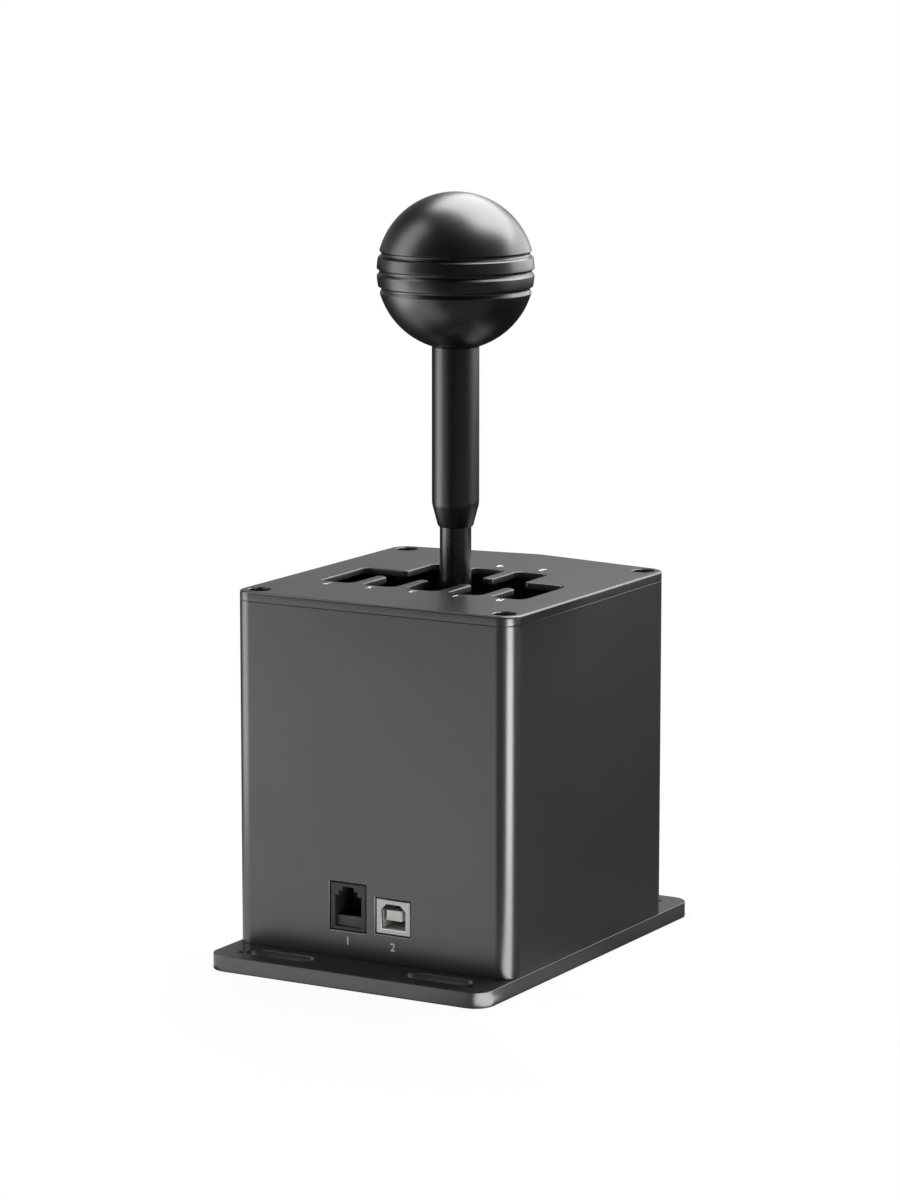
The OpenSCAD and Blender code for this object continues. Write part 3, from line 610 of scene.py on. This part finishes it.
def sunk_screw(bm, face, up, length):
    """A countersunk screw with a hex socket: face is the middle of its head, up is 1 or -1."""
    made = bmesh.new()
    drop = sizes().screw_drop
    head, shank, hexagon, depth = 3.75 * MM - drop, 2 * MM, 1.5 * MM, 1.1 * MM
    ease, tip_ease = 0.12 * MM, 0.5 * MM
    face = face - Vector((0, 0, up * drop))
    length -= drop
    socket = bmesh.ops.create_circle(made, segments=6, radius=hexagon)["verts"]
    hex_edges = list({e for v in socket for e in v.link_edges})
    bmesh.ops.subdivide_edges(made, edges=hex_edges, cuts=7)
    hex_edges = made.edges[:]
    rim = bmesh.ops.create_circle(made, segments=48, radius=head - ease)["verts"]
    rim_edges = list({e for v in rim for e in v.link_edges})
    bmesh.ops.bridge_loops(made, edges=hex_edges + rim_edges)

    def push(edges, scale, down):
        out = bmesh.ops.extrude_edge_only(made, edges=edges)["geom"]
        verts = verts_of(out)
        bmesh.ops.scale(made, vec=(scale, scale, 1), verts=verts)
        bmesh.ops.translate(made, vec=(0, 0, -down), verts=verts)
        return [g for g in out if isinstance(g, bmesh.types.BMEdge) and all(v in verts for v in g.verts)]

    ledge = push(hex_edges, 0.9, ease)
    floor = push(ledge, 1, depth - ease)
    bmesh.ops.contextual_create(made, geom=floor)
    cone = push(rim_edges, head / (head - ease), ease)
    neck = push(cone, shank / head, head - shank - ease)
    tip = push(neck, 1, length - (head - shank) - tip_ease)
    tip = push(tip, 0.75, tip_ease)
    bmesh.ops.contextual_create(made, geom=tip)
    bmesh.ops.recalc_face_normals(made, faces=made.faces)
    turned = Matrix.Identity(4) if up > 0 else Matrix.Rotation(math.pi, 4, "X")
    bmesh.ops.transform(made, matrix=Matrix.Translation(face) @ turned, verts=made.verts)
    join(bm, made)


class SHIFTER_OT_screws(bpy.types.Operator):
    """Countersunk screws of the gate plate, the housing and the brackets"""

    bl_idname = "shifter.screws"
    bl_label = "Countersunk screws"

    def execute(self, context):
        for node, up in (("top_screws", 1), ("bottom_screws", -1), ("bracket_screws", -1)):
            low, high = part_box(node)
            bm = bmesh.new()
            for place in screw_places(node):
                face = Vector((place.x, place.y, high.z if up > 0 else low.z))
                sunk_screw(bm, face, up, high.z - low.z)
            piece(node + "_dressed", bm, "black_steel", "chassis", [node], even=False)
        return {"FINISHED"}


class SHIFTER_OT_data_jack(bpy.types.Operator):
    """Modular data jack with eased edges and six bent contact wires"""

    bl_idname = "shifter.data_jack"
    bl_label = "Data jack"

    def execute(self, context):
        low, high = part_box("data_jack")
        bm = merged_copy("data_jack")
        at_face = sharp_edges(bm, lambda point, edge: abs(point.y - low.y) < WELD)
        round_edges(bm, at_face, 0.18 * MM, 2)
        jack = piece("data_jack_dressed", bm, "jack_black", "chassis", ["data_jack"])
        jack.data.materials.append(finish("sill_grey"))
        for face in jack.data.polygons:
            back, rise = face.center.y - low.y, face.center.z - low.z
            if 1 * MM < back < 2.9 * MM and 1.1 * MM < rise < 4.6 * MM and abs(face.normal.x) < 0.5:
                face.material_index = 1

        low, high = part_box("data_contacts")
        width, pitch, thick, count = 0.7 * MM, 1.5 * MM, 0.15 * MM, 6
        wires = bmesh.new()
        for i in range(count):
            x = low.x + i * pitch
            made = bmesh.new()
            start = made.verts.new((x, low.y, low.z + thick))
            line(made, start,
                 (x, low.y + 0.9 * MM, low.z + thick),
                 (x, low.y + 1.5 * MM, low.z + 0.5 * MM),
                 (x, high.y - 2.2 * MM, high.z - 0.5 * MM),
                 (x, high.y - 0.9 * MM, high.z - 0.2 * MM),
                 (x, high.y, high.z - 0.6 * MM))
            out = bmesh.ops.extrude_edge_only(made, edges=made.edges[:])["geom"]
            bmesh.ops.translate(made, vec=(width, 0, 0), verts=verts_of(out))
            bmesh.ops.recalc_face_normals(made, faces=made.faces)
            bmesh.ops.solidify(made, geom=made.faces[:], thickness=thick)
            bmesh.ops.recalc_face_normals(made, faces=made.faces)
            join(wires, made)
        piece("data_contacts_dressed", wires, "contact_gold", "chassis", ["data_contacts"],
              even=False)
        return {"FINISHED"}


class SHIFTER_OT_square_socket(bpy.types.Operator):
    """Square data socket: plated shell, pale liner and tongue, and four gold contacts"""

    bl_idname = "shifter.square_socket"
    bl_label = "Square socket"

    def execute(self, context):
        low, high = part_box("usb_shell")
        bm = merged_copy("usb_shell")
        wall = 0.3 * MM

        def at_face(point, edge):
            return abs(point.y - low.y) < WELD

        def at_opening(point, edge):
            return at_face(point, edge) and low.x + wall < point.x < high.x - wall \
                and low.z + wall < point.z < high.z - wall

        def at_outside(point, edge):
            return at_face(point, edge) and not at_opening(point, edge)

        round_edges(bm, sharp_edges(bm, at_outside), 0.25 * MM, 3)
        round_edges(bm, sharp_edges(bm, at_opening), 0.8 * MM, 1)
        piece("square_socket_shell", bm, "socket_nickel", "chassis", ["usb_shell"])

        low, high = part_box("usb_insert")
        tongue = merged_copy("usb_insert")
        round_edges(tongue, sharp_edges(tongue, lambda point, edge: point.y < high.y - 1 * MM), 0.3 * MM, 3)
        piece("square_socket_tongue", tongue, "tongue_white", "chassis", ["usb_insert"])

        liner = bmesh.new()
        mouth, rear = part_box("usb_shell")[0].y + 0.85 * MM, high.y - 0.05 * MM
        middle, half, ply = (low.x + high.x) / 2, 4.22 * MM, 0.12 * MM
        base, side_height = low.z - 2.7 * MM, 5.9 * MM
        block(liner, (middle - half, mouth, base), (middle + half, rear, base + ply))
        for side in (-1, 1):
            x = sorted((middle + side * half, middle + side * (half - ply)))
            block(liner, (x[0], mouth, base + ply), (x[1], rear, base + side_height))
        block(liner, (middle - half + ply, rear - ply, base + ply), (middle + half - ply, rear, low.z))
        piece("square_socket_liner", liner, "liner_pale", "chassis", even=False)

        pads = bmesh.new()
        lift, aside, half = 0.12 * MM, 1.25 * MM, 0.5 * MM
        for side in (-1, 1):
            x = middle + side * aside
            for base, top in ((high.z, high.z + lift), (low.z - lift, low.z)):
                block(pads, (x - half, low.y + 1.2 * MM, base), (x + half, high.y - 1 * MM, top))
        round_edges(pads, pads.edges[:], 0.04 * MM, 1)
        piece("square_socket_contacts", pads, "contact_gold", "chassis")
        return {"FINISHED"}


class SHIFTER_OT_knob(bpy.types.Operator):
    """Ball knob turned from its profile, with three rings"""

    bl_idname = "shifter.knob"
    bl_label = "Ball knob"

    def execute(self, context):
        low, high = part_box("shift_knob")
        radius = 24.8 * MM
        centre = Vector((0, LEVER_Y, high.z - radius))
        bore, bore_top = 6.02 * MM, 18 * MM
        ring, pitch, slope = 0.8 * MM, 5.6 * MM, math.radians(34)
        bm = bmesh.new()
        neck, neck_foot, ease = 7.25 * MM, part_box("lever_sleeve")[1].z - 14.92 * MM, 0.15 * MM
        foot = math.asin(neck / radius) - math.pi / 2
        start = bm.verts.new((0, LEVER_Y, centre.z - radius + bore_top))
        last = line(bm, start, (bore, LEVER_Y, centre.z - radius + bore_top), (bore, LEVER_Y, neck_foot),
                    (neck - ease, LEVER_Y, neck_foot), (neck, LEVER_Y, neck_foot + ease),
                    (neck, LEVER_Y, centre.z + radius * math.sin(foot)))
        angle = foot
        for k in (-1, 0, 1):
            middle = math.asin(k * pitch / radius)
            out = Vector((math.cos(middle), 0, math.sin(middle)))
            up = Vector((-out.z, 0, out.x))
            groove = centre + radius * out
            low_edge = middle - 2 * math.asin((ring + sizes().ring_foot) / (2 * radius))
            last = arc(bm, last, centre, angle - low_edge, 30 if k < 0 else 6)
            wall = -math.cos(slope) * up - math.sin(slope) * out
            last = line(bm, last, groove + ring * wall)
            inner = radius - sizes().ring_lip
            angle = middle + math.acos(
                (radius ** 2 + inner ** 2 - (ring + sizes().ring_lip) ** 2) / (2 * radius * inner))
            outward = Vector((math.cos(angle), 0, math.sin(angle)))
            inward = (groove - centre - inner * outward).normalized()
            last = arc(bm, last, groove, wall.angle(-inward), 10)
            last = arc(bm, last, centre + inner * outward, -inward.angle(outward), 4)
        arc(bm, last, centre, angle - math.pi / 2, 36)
        turn(bm, centre, sizes().turn_steps)
        piece("ball_knob", bm, "turned_black", "lever", ["shift_knob"],
              smooth=24, even=False)
        return {"FINISHED"}


class SHIFTER_OT_sleeve_and_rod(bpy.types.Operator):
    """Tapered sleeve and the rod under it, turned from their profiles"""

    bl_idname = "shifter.sleeve_and_rod"
    bl_label = "Sleeve and rod"

    def execute(self, context):
        low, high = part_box("lever_sleeve")
        radius, stem, bore = 7.5 * MM, 4 * MM, 5.02 * MM
        top, bore_top = high.z - 15 * MM, high.z - 30 * MM
        rim = top + 1.2 * MM
        lip = radius - 0.16 * MM
        points = [(bore, bore_top), (bore, low.z), (5.25 * MM, low.z), (5.65 * MM, low.z + 0.4 * MM),
                  (radius, low.z + 7.4 * MM), (radius, rim - 0.12 * MM), (radius - 0.1 * MM, rim),
                  (lip, rim), (lip, top), (stem, top), (stem, high.z - 0.5 * MM),
                  (stem - 0.5 * MM, high.z), (0, high.z)]
        bm = bmesh.new()
        start = bm.verts.new((0, LEVER_Y, bore_top))
        line(bm, start, *[(x, LEVER_Y, z) for x, z in points])
        bm.verts.ensure_lookup_table()
        shoulder = bm.verts[5]
        soften(bm, shoulder, 0.9 * MM, 4)
        turn(bm, (0, LEVER_Y, 0), sizes().turn_steps)
        piece("lever_sleeve_dressed", bm, "turned_black", "lever", ["lever_sleeve"])

        low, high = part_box("lever_shaft")
        radius, ease = 5 * MM, 0.6 * MM
        rod = bmesh.new()
        start = rod.verts.new((0, LEVER_Y, low.z))
        line(rod, start, *[(x, LEVER_Y, z) for x, z in (
            (radius - ease, low.z), (radius, low.z + ease), (radius, high.z - ease), (radius - ease, high.z),
            (0, high.z))])
        turn(rod, (0, LEVER_Y, 0), 96)
        piece("lever_rod", rod, "rod_black", "lever", ["lever_shaft"])
        return {"FINISHED"}


def stamp(bm, text, height, place):
    """Adds printed text to a bmesh: made a mesh first, then put in its place."""
    curve = bpy.data.curves.new("mark", "FONT")
    curve.body = text
    curve.size = height / 0.72
    curve.offset = 0.02 * height
    curve.align_x = "CENTER"
    curve.align_y = "CENTER"
    obj = bpy.data.objects.new("mark", curve)
    bpy.context.scene.collection.objects.link(obj)
    bpy.context.view_layer.update()
    mesh = bpy.data.meshes.new_from_object(obj.evaluated_get(bpy.context.evaluated_depsgraph_get()))
    mesh.transform(place)
    bm.from_mesh(mesh)
    bpy.data.objects.remove(obj)
    bpy.data.curves.remove(curve)
    bpy.data.meshes.remove(mesh)


class SHIFTER_OT_marks(bpy.types.Operator):
    """Printed gear marks on the gate plate and a number under each socket"""

    bl_idname = "shifter.marks"
    bl_label = "Printed marks"

    def execute(self, context):
        s = sizes()
        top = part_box("gate_plate")[1].z + s.print_lift
        pitch, near_row, far_row, socket_row = 15.5 * MM, -26.4 * MM, 29.6 * MM, 10.4 * MM
        rows = ((near_row, (("R", 2), ("1", 1), ("3", 0), ("5", -1), ("7", -2))),
                (far_row, (("2", 1), ("4", 0), ("6", -1))))
        facing_driver = Matrix.Rotation(math.pi, 4, "Z")
        bm = bmesh.new()
        for y, marks in rows:
            for text, column in marks:
                stamp(bm, text, s.gear_mark, Matrix.Translation((column * pitch, y, top)) @ facing_driver)
        piece("gear_marks", bm, "printed_white", "chassis", even=False)

        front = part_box("housing")[0].y - s.print_lift
        upright = Matrix.Rotation(math.pi / 2, 4, "X")
        bm = bmesh.new()
        for text, node in (("1", "data_jack"), ("2", "usb_shell")):
            low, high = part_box(node)
            stamp(bm, text, s.socket_mark,
                  Matrix.Translation(((low.x + high.x) / 2, front, socket_row)) @ upright)
        piece("socket_marks", bm, "printed_white", "chassis", even=False)
        return {"FINISHED"}


class SHIFTER_OT_springs(bpy.types.Operator):
    """Springs, each a smoothly shaded copy of its CAD solid, baked in place and riding on no body"""

    bl_idname = "shifter.springs"
    bl_label = "Springs"

    def execute(self, context):
        for node, seat, pressed, way in (
                ("centring_spring_left", "chassis", "yoke", (0, 0, 1)),
                ("centring_spring_right", "chassis", "yoke", (0, 0, 1)),
                ("detent_spring_left", "yoke", "detent_pin_left", (1, 0, 0)),
                ("detent_spring_right", "yoke", "detent_pin_right", (-1, 0, 0)),
                ("lockout_spring", "chassis", "lockout_pin", (0, -1, 0))):
            coil = piece(node + "_coil", merged_copy(node), "spring_steel", None, [node],
                         smooth=60, even=False)
            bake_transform(coil)
        return {"FINISHED"}


class SHIFTER_OT_mechanism(bpy.types.Operator):
    """Finishes of the solids that stay as they are, inside the housing"""

    bl_idname = "shifter.mechanism"
    bl_label = "Mechanism finishes"

    def execute(self, context):
        for entry in frame["record"]["subparts"]:
            node = frame["nodes"][entry["node"]]
            if not node.hide_render:
                node.data.materials.clear()
                node.data.materials.append(finish(entry["material_slot"]))
        return {"FINISHED"}


def toward(azimuth, elevation):
    """Direction from the origin at an azimuth from the port side toward the right."""
    flat = math.cos(elevation)
    return Vector((math.sin(azimuth) * flat, -math.cos(azimuth) * flat, math.sin(elevation)))


def heading(degrees):
    """Level direction at an azimuth."""
    return toward(math.radians(degrees), 0)


def panel(name, centre, target, width, height, brightness):
    """A soft, upright lamp of a given brightness, facing a target."""
    lamp = bpy.data.lights.new(name, "AREA")
    lamp.shape = "RECTANGLE"
    lamp.size, lamp.size_y = width, height
    lamp.energy = brightness * math.pi * width * height
    obj = bpy.data.objects.new(name, lamp)
    obj.location = centre
    obj.rotation_mode = "QUATERNION"
    back = (Vector(centre) - Vector(target)).normalized()
    right = Vector((0, 0, 1)).cross(back).normalized()
    obj.rotation_quaternion = Matrix((right, back.cross(right), back)).transposed().to_quaternion()
    obj.visible_camera = False
    bpy.context.scene.collection.objects.link(obj)


def white_floor():
    """Pale floor that shows as plain white to the eye and keeps a soft shadow; in the metal it glows white
    only in a painted pool of light, and dim beyond it as painted shade.
    """
    studio = bpy.context.scene.shifter_studio
    material, tree, shader = new_finish("pale_floor", 0.0, 0.9, specular_ior_level=0.0)
    shader.inputs["Base Color"].default_value = (*colours().floor, 1)
    link = tree.links.new
    rays = add(tree, "LightPath").outputs
    place = add(tree, "TexCoord").outputs["Object"]

    # Painted pool of light that only the metal mirrors, soft at its rim and cut off at its right and rear
    # sides; beyond it the floor glows dim in the metal, a painted shade
    mapping = add(tree, "Mapping", vector_type="TEXTURE", inputs={
        "Location": (*studio.light_pool_place, 0), "Rotation": (0, 0, studio.light_pool_turn),
        "Scale": (*studio.light_pool_size, 1)})
    sheet = add(tree, "TexGradient", gradient_type="SPHERICAL")
    fade = add(tree, "MapRange", {"From Max": 0.45}, interpolation_type="SMOOTHSTEP")
    link(place, mapping.inputs["Vector"])
    link(mapping.outputs["Vector"], sheet.inputs["Vector"])
    link(sheet.outputs["Fac"], fade.inputs["Value"])
    across = toward(studio.light_pool_side + math.pi / 2, 0)
    corner = Vector((HIGH.x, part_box("housing")[0].y, 0))
    lit = fade.outputs["Result"]
    for out, start, soft in ((across, corner.dot(across), 0.02),
                             (Vector((0, 1, 0)), studio.light_pool_rear, 0.045)):
        side = add(tree, "VectorMath", {1: out}, operation="DOT_PRODUCT")
        edge = add(tree, "MapRange", {"From Min": start + soft, "From Max": start - soft},
                   interpolation_type="SMOOTHSTEP")
        link(place, side.inputs[0])
        link(side.outputs["Value"], edge.inputs["Value"])
        lit = combine(tree, "MULTIPLY", lit, edge.outputs["Result"])
    dimmed = combine(tree, "MAXIMUM", lit, studio.floor_dim)
    glow = add(tree, "Emission")
    link(combine(tree, "MAXIMUM", dimmed, rays["Is Camera Ray"]), glow.inputs["Strength"])

    # Share of the glow, a little less near the object, where the floor's own colour keeps the shadow
    near_floor, far_floor = 0.09, 0.19
    off = add(tree, "VectorMath", operation="LENGTH")
    share = add(tree, "MapRange",
                {"From Min": near_floor, "From Max": far_floor, "To Min": studio.floor_white})
    link(place, off.inputs[0])
    link(off.outputs["Value"], share.inputs["Value"])
    direct = combine(tree, "MAXIMUM", rays["Is Camera Ray"], rays["Is Glossy Ray"])
    direct = combine(tree, "MAXIMUM", direct, rays["Is Transmission Ray"])
    mix = add(tree, "MixShader")
    link(combine(tree, "MULTIPLY", direct, share.outputs["Result"]), mix.inputs[0])
    link(shader.outputs[0], mix.inputs[1])
    link(glow.outputs[0], mix.inputs[2])
    link(mix.outputs[0], built_in(tree, "OUTPUT_MATERIAL").inputs["Surface"])
    return material


def studio_air():
    """World that is brighter at the horizon behind the object and dim overhead."""
    world = bpy.data.worlds.new("studio_air")
    world.use_nodes = True
    tree = world.node_tree
    studio = bpy.context.scene.shifter_studio
    front, behind = studio.horizon
    place = add(tree, "TexCoord")
    apart = add(tree, "SeparateXYZ")
    around = add(tree, "MapRange", {"From Min": -1, "To Min": front, "To Max": behind})
    height = add(tree, "MapRange", {"From Min": 0.12, "From Max": 0.5, "To Max": studio.zenith})
    background = built_in(tree, "BACKGROUND")
    background.inputs["Color"].default_value = (1, 1, 1, 1)
    tree.links.new(place.outputs["Generated"], apart.inputs[0])
    tree.links.new(apart.outputs["Y"], around.inputs["Value"])
    tree.links.new(apart.outputs["Z"], height.inputs["Value"])
    tree.links.new(around.outputs["Result"], height.inputs["To Min"])
    tree.links.new(height.outputs["Result"], background.inputs["Strength"])
    bpy.context.scene.world = world


def dark_card(name, tone):
    """Dull dark card: a flag that keeps light off a place, or painted shade that the metal mirrors."""
    material, tree, shader = new_finish(name, 0.0, 1.0, specular_ior_level=0.0)
    mottle = between(tree, spread(tree, grain(tree, 900), 0, 1), grey(tone * 0.9), grey(tone * 1.1))
    tree.links.new(mottle, shader.inputs["Base Color"])
    return material


def lit_card(brightness):
    """Even light from a card."""
    material = bpy.data.materials.new("lit_card")
    material.use_nodes = True
    tree = material.node_tree
    glow = add(tree, "Emission", {"Strength": brightness})
    tree.links.new(glow.outputs[0], built_in(tree, "OUTPUT_MATERIAL").inputs["Surface"])
    return material


def stage_piece(name, bm, material, seen=False):
    """Makes a bmesh a part of the stage, which the camera sees or not."""
    mesh = bpy.data.meshes.new(name)
    bm.to_mesh(mesh)
    bm.free()
    mesh.materials.append(material)
    obj = bpy.data.objects.new(name, mesh)
    obj.visible_camera = seen
    bpy.context.scene.collection.objects.link(obj)


def card(name, corners, material):
    """A flat card of the stage."""
    bm = bmesh.new()
    bm.faces.new([bm.verts.new(c) for c in corners])
    stage_piece(name, bm, material)


def hang_panels(studio):
    """Soft lamps over and behind the knob, low behind the object, and tall on its left."""
    knob = Vector((0, LEVER_Y, 0.2))
    above = knob + toward(math.radians(170), math.radians(57)) * 0.6
    panel("overhead_panel", above, knob, 0.8, 0.64, studio.overhead)
    low = Vector((0, 0, 0.4))
    panel("back_panel", low + heading(152) * 0.75, low, 0.9, 0.52, studio.back_panel)
    middle = Vector((0, 0, 0.326))
    panel("left_panel", middle + heading(-60) * 0.28, middle, 0.17, 0.65, studio.left_panel)


def lay_lights(studio):
    """Lit cards on the floor: a wedge that the front corner mirrors, a far sheet, and the slots' floor."""
    first, second = Vector((0.0485, -0.077, 0)), Vector((0.0545, -0.053, 0))
    near, far = heading(47), heading(80)
    for name, start, end, share in (("near_wedge", 0, 0.17, 0.78), ("mid_wedge", 0.17, 0.45, 1.28),
                                    ("far_wedge", 0.45, 1.1, 1.65)):
        card(name, (first + near * start, first + near * end, second + far * end, second + far * start),
             lit_card(studio.right_wedge * share))
    bow = (98, 109, 120, 131)
    inner, outer = 0.85, 1.35
    card("side_sheet", [heading(a) * inner for a in bow] + [heading(a) * outer for a in reversed(bow)],
         lit_card(studio.side_sheet))

    slots = mount("mounting_slots")
    margin, top, under = 1.25, -0.03 * MM, -0.04 * MM
    half_x = (slots["slot_length_mm"] / 2 + margin) * MM
    half_y = (slots["hole_r_mm"] + margin) * MM
    light = bmesh.new()
    for side, end in CORNERS:
        x, y = side * slots["spacing_x_mm"] / 2 * MM, end * slots["spacing_y_mm"] / 2 * MM
        block(light, (x - half_x, y - half_y, under), (x + half_x, y + half_y, top))
    stage_piece("slot_light", light, lit_card(1.0))


def lay_shades():
    """Painted contact shade under the base plate's edge, a dark card that the edge mirrors, and a flag that
    keeps the wedge's light off the gate plate.
    """
    outside, inside = 1 * MM, -4 * MM
    # Painted contact shade: a dark ring, unseen by the camera, that the plate's rounded lower edge mirrors as
    # shade
    shade = bmesh.new()
    rings = [[shade.verts.new((x * (HIGH.x + margin), y * (HIGH.y + margin), -0.03 * MM)) for x, y in CORNERS]
             for margin in (outside, inside)]
    for i in range(4):
        shade.faces.new((rings[0][i], rings[0][i - 1], rings[1][i - 1], rings[1][i]))
    stage_piece("shade", shade, dark_card("painted_contact_shade", 0.008))

    level, wall_y, wall_x = 0.1175, -0.0527, 0.0502
    left, corner, right = (
        Vector((x, y, level)) for x, y in ((0.01, wall_y), (wall_x, wall_y), (wall_x, -0.005)))
    card("flag", (left, corner, right, right + heading(95) * 0.6, corner + heading(62) * 0.7,
                  left + heading(28) * 0.6), dark_card("flag_cloth", 0.09))


def place_camera(studio):
    """Camera at the photograph's angle."""
    lens = bpy.data.cameras.new("camera")
    lens.lens = studio.lens
    lens.sensor_width = 36
    lens.sensor_fit = "AUTO"
    lens.clip_start, lens.clip_end = 0.05, 200
    camera = bpy.data.objects.new("camera", lens)
    bpy.context.scene.collection.objects.link(camera)
    back = toward(studio.azimuth, studio.elevation)
    right = Vector((math.cos(studio.azimuth), math.sin(studio.azimuth), 0))
    up = back.cross(right)
    camera.location = studio.aside * right + studio.raised * up + studio.away * back
    camera.rotation_mode = "QUATERNION"
    camera.rotation_quaternion = Matrix((right, up, back)).transposed().to_quaternion()
    bpy.context.scene.camera = camera


class SHIFTER_OT_stage(bpy.types.Operator):
    """Floor, world, lamps, cards and camera"""

    bl_idname = "shifter.stage"
    bl_label = "Stage"

    def execute(self, context):
        studio = context.scene.shifter_studio
        floor = bmesh.new()
        bmesh.ops.create_circle(floor, cap_ends=True, segments=64, radius=60)
        bmesh.ops.translate(floor, vec=(0, 0, -0.05 * MM), verts=floor.verts)
        stage_piece("floor", floor, white_floor(), seen=True)
        studio_air()
        hang_panels(studio)
        lay_lights(studio)
        lay_shades()
        place_camera(studio)
        context.scene.view_settings.view_transform = "Standard"
        return {"FINISHED"}


class SHIFTER_PT_pieces(bpy.types.Panel):
    """Lists the shifter's pieces, sizes and colours"""

    bl_label = "Gear shifter"
    bl_idname = "SHIFTER_PT_pieces"
    bl_space_type = "VIEW_3D"
    bl_region_type = "UI"
    bl_category = "Shifter"

    def draw(self, context):
        for step in STEPS:
            self.layout.operator(step.bl_idname)
        for label, kind in GROUPS.items():
            box = self.layout.box()
            for name in kind.__annotations__:
                box.prop(getattr(context.scene, label), name)


STEPS = (
    SHIFTER_OT_base_plate,
    SHIFTER_OT_housing,
    SHIFTER_OT_gate_plate,
    SHIFTER_OT_screws,
    SHIFTER_OT_data_jack,
    SHIFTER_OT_square_socket,
    SHIFTER_OT_knob,
    SHIFTER_OT_sleeve_and_rod,
    SHIFTER_OT_marks,
    SHIFTER_OT_springs,
    SHIFTER_OT_mechanism,
    SHIFTER_OT_stage,
)
GROUPS = {
    "shifter_sizes": ShifterSizes,
    "shifter_colours": ShifterColours,
    "shifter_studio": ShifterStudio,
}


def register():
    for name, group in GROUPS.items():
        bpy.utils.register_class(group)
        setattr(bpy.types.Scene, name, bpy.props.PointerProperty(type=group))
    for step in STEPS:
        bpy.utils.register_class(step)
    bpy.utils.register_class(SHIFTER_PT_pieces)


def unregister():
    bpy.utils.unregister_class(SHIFTER_PT_pieces)
    for step in reversed(STEPS):
        bpy.utils.unregister_class(step)
    for name, group in GROUPS.items():
        delattr(bpy.types.Scene, name)
        bpy.utils.unregister_class(group)


def main():
    register()
    for step in STEPS:
        getattr(bpy.ops.shifter, step.bl_idname.split(".")[1])()


if __name__ == "__main__":
    main()
